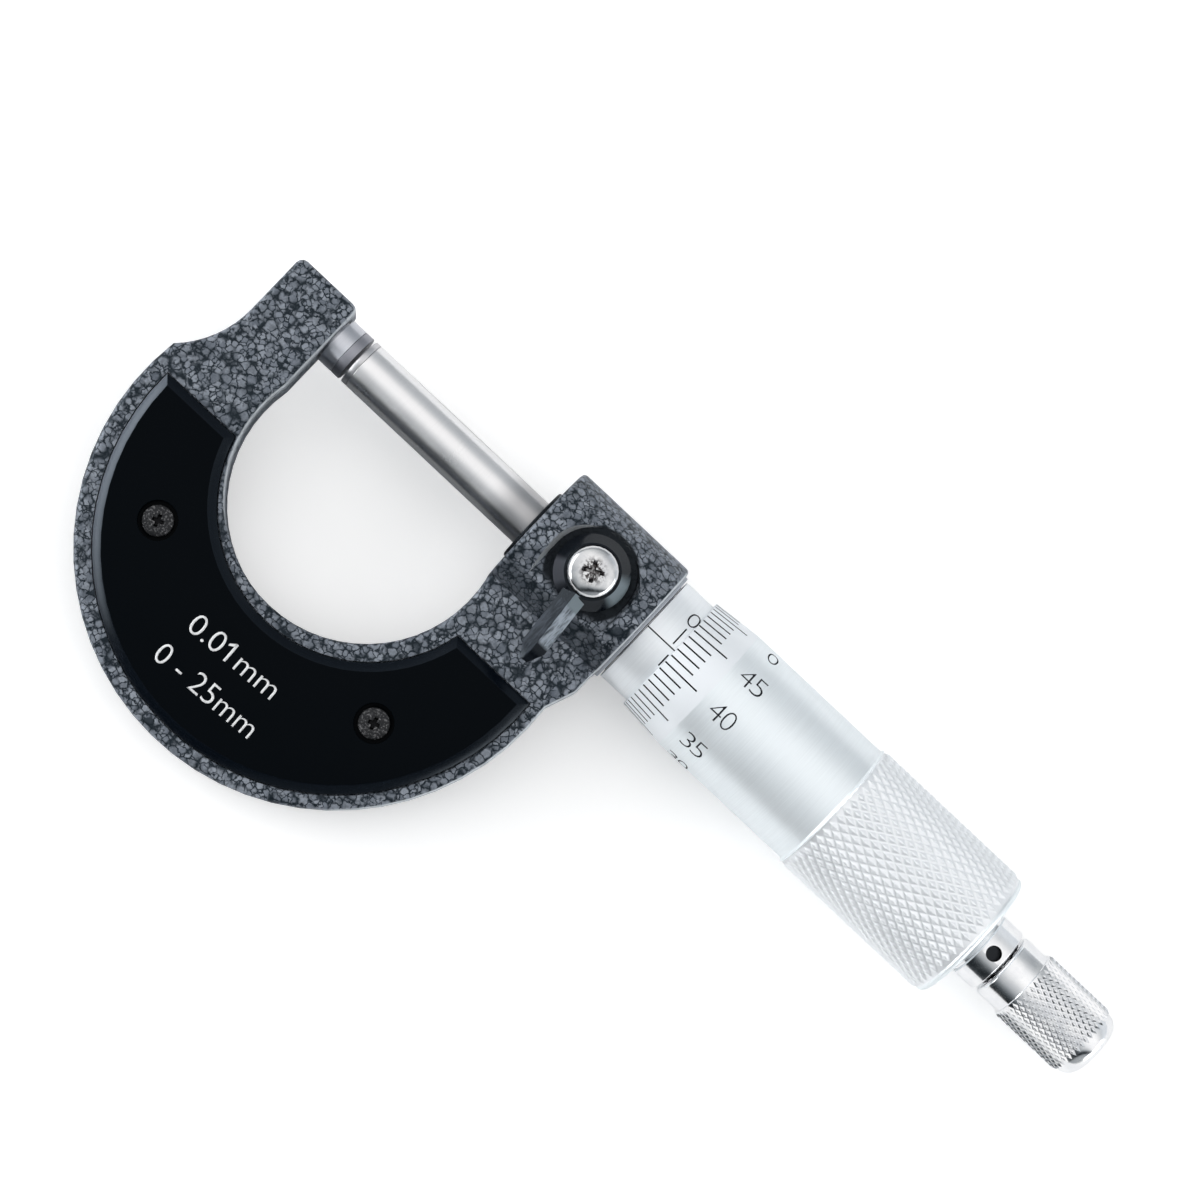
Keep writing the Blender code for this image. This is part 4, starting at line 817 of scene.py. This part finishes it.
def dress_node(node, mat, bevel=0.0, segments=2):
    """Gives a CAD node its finish, smooth shading and softly broken edges."""
    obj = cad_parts[node]
    obj.data.materials.clear()
    obj.data.materials.append(mat)
    obj.data.shade_smooth()
    weld = obj.modifiers.new("Weld", "WELD")
    weld.merge_threshold = 1e-6
    flat = obj.modifiers.new("Flats", "DECIMATE")
    flat.decimate_type = "DISSOLVE"
    flat.angle_limit = math.radians(FLAT_ANGLE)
    if bevel:
        soft = obj.modifiers.new("Broken edges", "BEVEL")
        soft.width = bevel * MM
        soft.segments = segments
        soft.limit_method = "ANGLE"
        soft.angle_limit = math.radians(EDGE_ANGLE)
        soft.use_clamp_overlap = True
    obj.modifiers.new("Shading", "WEIGHTED_NORMAL")


def make_plate(node, face_mat, bevel_mat):
    """A plate with the node's shape, its edges softly broken and its chamfer in a finish of its own."""
    bm = bmesh.new()
    bm.from_mesh(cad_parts[node].data)
    bmesh.ops.scale(bm, vec=(1 / MM, 1 / MM, 1 / MM), verts=bm.verts)
    bmesh.ops.remove_doubles(bm, verts=bm.verts, dist=1e-3)
    bmesh.ops.dissolve_limit(bm, angle_limit=math.radians(1.0), verts=bm.verts, edges=bm.edges)
    for f in bm.faces:
        f.normal_update()
        f.material_index = 1 if 0.3 < abs(f.normal.z) < 0.98 else 0
    sharp = [e for e in bm.edges if len(e.link_faces) == 2 and e.calc_face_angle() > math.radians(25)]
    bmesh.ops.bevel(bm, geom=sharp, offset=PLATE_EDGE, offset_type="OFFSET", segments=2, profile=0.5,
                    affect="EDGES", clamp_overlap=True, material=-1)
    obj = make_mesh_object(f"{node}_dressed", bm, face_mat, "frame")
    obj.data.materials.append(bevel_mat)
    smooth_by_angle(obj, 25)
    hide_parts(node)


def make_thimble(place, chrome):
    """The thimble's drum with its graduated cone, and the knurled grip on it."""
    knurl_end = KNURL_START + KNURL_PITCH * KNURL_ROWS
    valley = KNURL_RADIUS - KNURL_DEPTH
    seat = valley - KNURL_SINK
    outside = softened([
        (0.0, THIMBLE_BORE), (0.0, EDGE_RADIUS), (CONE_LENGTH, DRUM_RADIUS), (DRUM_END, DRUM_RADIUS),
        (KNURL_START - KNURL_RIM, seat + KNURL_RIDGE), (KNURL_START + KNURL_RIDGE_WIDTH, seat),
        (knurl_end - KNURL_RIM, seat),
    ], DRUM_SOFTENING)
    middle = (knurl_end + KNURL_RIM, valley + KNURL_RIM - THIMBLE_ROUNDING)
    rounding = arc_points(middle, THIMBLE_ROUNDING, 80, 12, 6)
    end = [
        (THIMBLE_END - 0.05, THIMBLE_END_FACE + 0.15), (THIMBLE_END, THIMBLE_END_FACE),
        (THIMBLE_END, THIMBLE_HOLE), (THIMBLE_END - THIMBLE_END_WALL, THIMBLE_HOLE),
        (THIMBLE_BORE_DEPTH, THIMBLE_HOLE), (THIMBLE_BORE_DEPTH, THIMBLE_BORE),
    ]
    bm = bmesh.new()
    spin_profile(bm, outside + rounding + end + outside[:1], DRUM_STEPS)
    bmesh.ops.translate(bm, verts=bm.verts, vec=place)
    drum = make_mesh_object("thimble_drum", bm, chrome, "spindle_turn")
    smooth_by_angle(drum, 35)
    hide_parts("thimble")

    inner = seat - KNURL_RIM
    grip = diamond_knurl(KNURL_START, KNURL_PITCH, KNURL_ROWS, KNURL_COUNT, valley, KNURL_DEPTH, inner)
    bmesh.ops.translate(grip, verts=grip.verts, vec=place)
    grip = make_mesh_object("thimble_knurl", grip, chrome, "spindle_turn")
    smooth_by_angle(grip, 50)
    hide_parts("thimble")


def thimble_radius(x):
    """The thimble's radius on its cone and on its drum."""
    if x < CONE_LENGTH:
        return EDGE_RADIUS + (DRUM_RADIUS - EDGE_RADIUS) * x / CONE_LENGTH
    return DRUM_RADIUS


def make_thimble_graduation(place, ink, number_ink):
    """Fifty lines round the thimble's edge, with a number at every fifth."""
    lay = engraver(thimble_radius, *place)
    step = 360 / DIVISIONS
    bm = bmesh.new()
    numbers = bmesh.new()
    for k in range(DIVISIONS):
        angle = (k - SHOWN_DIVISION) * step
        length = (LONG_LINE if k % DIVISIONS_PER_NUMBER == 0 else SHORT_LINE) - LINE_START
        line = flat_strip(length, LINE_WIDTH)
        lay(line, LINE_START, angle)
        absorb(bm, line)
        if k % DIVISIONS_PER_NUMBER == 0:
            number = flat_number(k, NUMBER_HEIGHT)
            lay(number, NUMBER_X, angle)
            absorb(numbers, number)
    for name, made, mat in (("thimble_graduation", bm, ink), ("thimble_numbers", numbers, number_ink)):
        obj = make_mesh_object(name, made, mat, "spindle_turn")


def make_sleeve_graduation(zero_x, start_x, axis_y, axis_z, ink):
    """The datum line, the whole millimetres above it and the half millimetres below."""
    lay = engraver(lambda x: SLEEVE_RADIUS, zero_x, axis_y, axis_z)
    bm = bmesh.new()
    datum = flat_strip(RANGE + DATUM_OVERRUN + zero_x - start_x, DATUM_WIDTH)
    lay(datum, start_x - zero_x, 0)
    absorb(bm, datum)
    for k in range(int(RANGE / THREAD_PITCH) + 1):
        x = k * THREAD_PITCH
        low, high = WHOLE_MARK if k % 2 == 0 else HALF_MARK
        mark = flat_strip(MARK_WIDTH, high - low)
        middle = math.degrees((high + low) / 2 / SLEEVE_RADIUS)
        lay(mark, x - MARK_WIDTH / 2, middle)
        absorb(bm, mark)
        if k % MARKS_PER_NUMBER == 0:
            number = flat_number(int(x), SLEEVE_NUMBER_HEIGHT)
            lay(number, x, math.degrees(SLEEVE_NUMBER_PLACE / SLEEVE_RADIUS))
            absorb(bm, number)
    obj = make_mesh_object("sleeve_graduation", bm, ink, "frame")


def make_knob(place, chrome):
    """The ratchet's knob: a smooth neck and a finely knurled cap with a rounded end."""
    start = KNOB_NECK_LENGTH
    knurl_end = start + KNOB_KNURL_PITCH * KNOB_KNURL_ROWS
    valley = KNOB_RADIUS - KNOB_KNURL_DEPTH
    seat = valley - KNURL_SINK
    outside = softened([
        (0.0, KNOB_BORE), (0.0, KNOB_NECK_RADIUS - KNOB_NECK_BREAK), (KNOB_NECK_BREAK, KNOB_NECK_RADIUS),
        (start - KNOB_STEP_LENGTH, KNOB_NECK_RADIUS), (start, seat + KNURL_RIM),
        (knurl_end - KNOB_EDGE_LAND, seat),
    ], KNOB_SOFTENING)
    rounding = arc_points((knurl_end, seat - KNOB_ROUNDING), KNOB_ROUNDING, 86, 8, 8)
    cap_end = knurl_end + KNOB_ROUNDING
    outer_wall = KNOB_LENGTH - KNOB_WALL
    inner_wall = KNOB_BORE_DEPTH - KNOB_WALL
    end = [
        (cap_end, KNOB_END_HOLE + KNOB_END_BREAK), (cap_end - KNOB_END_BREAK, KNOB_END_HOLE),
        (outer_wall, KNOB_END_HOLE), (outer_wall, KNOB_SHAFT_HOLE), (inner_wall, KNOB_SHAFT_HOLE),
        (inner_wall, KNOB_BORE),
    ]
    bm = bmesh.new()
    spin_profile(bm, outside + rounding + end + outside[:1], DRUM_STEPS)
    bmesh.ops.translate(bm, verts=bm.verts, vec=place)
    neck = make_mesh_object("knob_body", bm, chrome, "ratchet")
    smooth_by_angle(neck, 35)
    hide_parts("ratchet_knob")

    cap = diamond_knurl(start, KNOB_KNURL_PITCH, KNOB_KNURL_ROWS, KNOB_KNURL_COUNT, valley,
                        KNOB_KNURL_DEPTH, seat - KNURL_RIM)
    bmesh.ops.translate(cap, verts=cap.verts, vec=place)
    cap = make_mesh_object("knob_knurl", cap, chrome, "ratchet")
    smooth_by_angle(cap, 50)
    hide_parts("ratchet_knob")


def make_plate_lettering(face_z, axis_y, paint):
    """The resolution and the range, printed on the front plate."""
    bm = bmesh.new()
    for text, x, y, width, height in (RESOLUTION_TEXT, RANGE_TEXT):
        line = flat_text(text, width, height, LETTER_THINNING, bend=False)
        bmesh.ops.rotate(line, verts=line.verts, matrix=Matrix.Rotation(math.radians(LETTER_TURN), 3, "Z"))
        bmesh.ops.translate(line, verts=line.verts, vec=(x, axis_y + y + height / 2, face_z))
        absorb(bm, line)
    obj = make_mesh_object("plate_lettering", bm, paint, "frame")


def table_finish():
    """White, clear from below, with painted shade inside the ring's opening that only reflections see."""
    mat, n, shader = new_material("white_table")
    white = n.mix(n.noise(n.coords(0.2)), TABLE_DARK, TABLE_LIGHT)
    seen = n.add("ShaderNodeLightPath").outputs
    x, y = n.spot()[:2]
    reach = n.length(n.difference(x, OPENING_MIDDLE[0]), n.difference(y, OPENING_MIDDLE[1]))
    # Painted shade: inside the ring's opening the table is darker, and glows less, to glossy rays
    opening = n.product(n.fall(reach, *OPENING_RADIUS), seen["Is Glossy Ray"])
    mirrored = n.product(seen["Is Glossy Ray"], n.difference(TABLE_MIRRORED_GLOW, opening))
    glow = n.math("ADD", n.product(seen["Is Camera Ray"], TABLE_GLOW), n.math("MAXIMUM", mirrored, 0.0))
    connect(n, shader, Base_Color=n.mix(opening, white, OPENING_SHADE), Roughness=0.6, Specular_IOR_Level=0.2,
            Emission_Color=(1, 1, 1), Emission_Strength=glow)
    below = n.add("ShaderNodeNewGeometry").outputs["Backfacing"]
    clear = n.add("ShaderNodeBsdfTransparent").outputs[0]
    shown = n.add("ShaderNodeMixShader", {0: below, 1: shader.outputs[0], 2: clear}).outputs[0]
    n.tree.links.new(shown, n.tree.nodes["Material Output"].inputs["Surface"])
    return mat


def make_table(axis_y, axis_z):
    """A large table, which lies just under the thimble's knurl and the ring's lower edge."""
    knurl_z = axis_z - KNURL_RADIUS
    slope = math.atan2(-knurl_z, RING_LOWEST_Y)
    bm = bmesh.new()
    bmesh.ops.create_grid(bm, x_segments=4, y_segments=4, size=TABLE_SIZE / 2)
    bmesh.ops.rotate(bm, verts=bm.verts, matrix=Matrix.Rotation(slope + math.pi, 3, "X"))
    bmesh.ops.translate(bm, verts=bm.verts, vec=(0, axis_y, knurl_z - TABLE_GAP))
    bmesh.ops.scale(bm, verts=bm.verts, vec=(MM, MM, MM))
    mesh = bpy.data.meshes.new("table")
    bm.to_mesh(mesh)
    bm.free()
    mesh.materials.append(table_finish())
    table = bpy.data.objects.new("table", mesh)
    bpy.context.collection.objects.link(table)


def make_camera(axis_y, axis_z):
    """The photograph's view, from a little to the ring's side."""
    target = Vector((CAMERA_X, axis_y - CAMERA_BELOW_AXIS, axis_z)) * MM
    tilt = math.radians(CAMERA_TILT)
    turn = Matrix.Rotation(tilt, 4, "X") @ Matrix.Rotation(math.radians(CAMERA_ROLL), 4, "Z")
    data = bpy.data.cameras.new("camera")
    data.sensor_width = SENSOR
    data.lens = SENSOR * CAMERA_DISTANCE / PHOTO_WIDTH
    camera = bpy.data.objects.new("camera", data)
    bpy.context.collection.objects.link(camera)
    back = Matrix.Translation((0, 0, CAMERA_DISTANCE * MM))
    camera.matrix_world = Matrix.Translation(target) @ turn @ back
    bpy.context.scene.camera = camera


def tent_light(n, east, north, up):
    """The tent's light: bands by the angle from straight up, skewed towards the ratchet's end."""
    angle = n.math("ARCTAN2", n.product(north, -1.0), up)
    skew = n.product(n.ramp(angle, 0.0, math.radians(TENT_SKEW_FULL)), math.radians(TENT_SKEW))
    aside = n.math("MAXIMUM", n.difference(east, TENT_SKEW_START), 0.0)
    angle = n.math("ADD", angle, n.product(aside, skew))
    turned = {0: angle, 1: 1 / (2 * math.pi), 2: 0.5}
    share = n.add("ShaderNodeMath", turned, operation="MULTIPLY_ADD").outputs[0]
    ramp = n.add("ShaderNodeValToRGB", {0: share})
    stops = ramp.color_ramp.elements
    while len(stops) > 1:
        stops.remove(stops[-1])
    stops[0].position = 0.0
    stops[0].color = (*TENT_FLOOR, 1)
    for degrees, level in TENT_LEVELS:
        stop = stops.new((degrees + 180) / 360)
        stop.color = (*[level ** power for power in TENT_WARMTH], 1)
    sides = [math.radians(degrees) for degrees in FAR_SIDE]
    far = n.product(n.ramp(angle, *sides), n.ramp(east, *FAR_EAST), FAR_SHARE)
    return n.mix(far, ramp.outputs[0], FAR_LIGHT)


def window_light(n, east, north, up):
    """The light that the windows add."""
    level = n.math("MAXIMUM", n.length(east, north), 1e-4)
    glow = 0.0
    for heading, half_width, low, high, brightness in WINDOWS:
        turn = math.radians(heading)
        ahead = n.math("ADD", n.product(east, math.cos(turn)), n.product(north, math.sin(turn)))
        edges = [math.cos(math.radians(half_width + edge)) for edge in (WINDOW_EDGE, -WINDOW_EDGE)]
        side = n.ramp(n.math("DIVIDE", ahead, level), *edges)
        band = n.product(n.ramp(up, low - WINDOW_SOFTNESS, low + WINDOW_SOFTNESS),
                         n.fall(up, high - WINDOW_SOFTNESS, high + WINDOW_SOFTNESS))
        glow = n.math("ADD", n.product(side, band, brightness), glow)
    return glow


def make_light():
    """A bright tent: white overhead, dark towards the table's edge, with a window on two sides."""
    world = bpy.data.worlds.new("studio")
    world.use_nodes = True
    bpy.context.scene.world = world
    n = Nodes(world.node_tree)
    direction = n.add("ShaderNodeTexCoord").outputs["Generated"]
    east, north, up = n.add("ShaderNodeSeparateXYZ", {0: direction}).outputs
    both = {0: 1.0, 6: tent_light(n, east, north, up), 7: window_light(n, east, north, up)}
    lit = n.add("ShaderNodeMix", both, data_type="RGBA", blend_type="ADD").outputs[2]
    to_camera = n.add("ShaderNodeLightPath").outputs["Is Camera Ray"]
    background = n.tree.nodes["Background"]
    n.tree.links.new(n.mix(to_camera, lit, (1, 1, 1)), background.inputs["Color"])
    background.inputs["Strength"].default_value = 1.0


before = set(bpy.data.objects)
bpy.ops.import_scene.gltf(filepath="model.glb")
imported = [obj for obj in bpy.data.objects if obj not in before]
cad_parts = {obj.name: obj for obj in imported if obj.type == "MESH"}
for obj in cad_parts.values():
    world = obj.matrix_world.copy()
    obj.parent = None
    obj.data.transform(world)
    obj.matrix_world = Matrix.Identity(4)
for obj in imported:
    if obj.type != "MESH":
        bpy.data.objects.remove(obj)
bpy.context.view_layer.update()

bpy.context.scene.view_settings.view_transform = "Standard"

spindle_low, spindle_high = (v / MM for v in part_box("spindle"))
axis_y = (spindle_low.y + spindle_high.y) / 2
axis_z = (spindle_low.z + spindle_high.z) / 2
thimble_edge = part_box("thimble")[0].x / MM
knob_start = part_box("ratchet_knob")[0].x / MM
sleeve_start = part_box("scale_sleeve")[0].x / MM
plate_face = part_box("front_plate")[1].z / MM
lever_screw_low, lever_screw_high = (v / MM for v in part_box("lock_lever_screw"))
lock_x = (lever_screw_low.x + lever_screw_high.x) / 2
plate_screw_low, plate_screw_high = (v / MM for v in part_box("front_plate_screw_right"))
screw_x = (plate_screw_low.x + plate_screw_high.x) / 2
screw_y = (plate_screw_low.y + plate_screw_high.y) / 2
hole_x = knob_start - RATCHET_PARTING - RATCHET_COLLAR_LENGTH / 2

make_camera(axis_y, axis_z)
make_light()
make_table(axis_y, axis_z)

enamel = hammertone_paint(lock_x, axis_y, axis_z)
knurl_start = thimble_edge + KNURL_START
knurl_end = knurl_start + KNURL_PITCH * KNURL_ROWS
cone_zone = (thimble_edge, thimble_edge + CONE_LENGTH, 0.1, CONE_SATIN, 0.2)
knurl_zone = (knurl_start, knurl_end, 0.05, KNURL_SATIN, 0.6)
satin = turned_metal("satin_plating", DRUM_SATIN, 0.4, 0.005, metallic=0.62, stretch=0.3,
                     zones=(cone_zone, knurl_zone))
sleeve_satin = turned_metal("sleeve_satin", SLEEVE_SATIN, 0.4, 0.005, metallic=0.45, stretch=0.3)
# Painted reflection of the dark head on the rod near it
head_reflection = (HEAD_LEFT - 3.0, HEAD_LEFT + 1.0, HEAD_REFLECTION_FADE, GROUND_HEAD_REFLECTION, 1.0)
ground = turned_metal("ground_rod", GROUND_STEEL, 0.28, 0.004, stretch=0.8, ring_scale=14.0,
                      zones=(head_reflection,))
# A painted reflection of the dark arm makes the anvil's steel darker
anvil_arm_reflection = turned_metal("anvil_arm_reflection", ANVIL_STEEL_ARM_REFLECTION, 0.36, 0.006, stretch=0.9)
carbide = turned_metal("sintered_carbide", ANVIL_CARBIDE, 0.4, 0.004)
spindle_carbide = turned_metal("spindle_carbide", SPINDLE_CARBIDE, 0.34, 0.004, stretch=0.9)
chrome = turned_chrome((hole_x, axis_y, axis_z + RATCHET_COLLAR_RADIUS))
dome_chrome = screw_chrome((lock_x, axis_y, 0.0), lever_screw_high.z)
plate_black = black_plate()
chamfer = plate_bevel()
lacquer = black_lacquer(axis_y)
oxide = black_oxide((screw_x, screw_y, plate_face / 2), plate_screw_high.z - plate_face / 2)
ink = printed("black_ink", LINE_INK, 0.6, 0.0)
number_ink = printed("number_ink", NUMBER_INK, 0.6, 0.0)
white_paint = printed("white_print", LETTER_WHITE, 0.5, 0.2)
brass = turned_metal("pad_brass", PAD_BRASS, 0.3, 0.006)

dress_node("frame", enamel, CAST_EDGE)
make_plate("front_plate", plate_black, chamfer)
make_plate("rear_plate", plate_black, chamfer)
for side in ("front", "rear"):
    for hand in ("left", "right"):
        dress_node(f"{side}_plate_screw_{hand}", oxide, TURNED_EDGE)
dress_node("anvil", anvil_arm_reflection, TURNED_EDGE)
for node in ("spindle", "spindle_nut", "adjusting_nut", "lock_stud", "ratchet_click_plate", "ratchet_screw"):
    dress_node(node, ground, TURNED_EDGE)
dress_node("ratchet_spring", ground)
dress_node("anvil_tip", carbide)
dress_node("spindle_tip", spindle_carbide)
dress_node("scale_sleeve", sleeve_satin)
dress_node("lock_pad", brass)
dress_node("lock_lever", lacquer, CAST_EDGE, 3)
dress_node("lock_lever_screw", dome_chrome, SCREW_EDGE)
dress_node("ratchet_body", chrome, TURNED_EDGE)

make_thimble((thimble_edge, axis_y, axis_z), satin)
make_thimble_graduation((thimble_edge, axis_y, axis_z), ink, number_ink)
make_sleeve_graduation(thimble_edge - READING - SLEEVE_SETBACK, sleeve_start, axis_y, axis_z, ink)
make_knob((knob_start, axis_y, axis_z), chrome)
make_plate_lettering(plate_face, axis_y, white_paint)
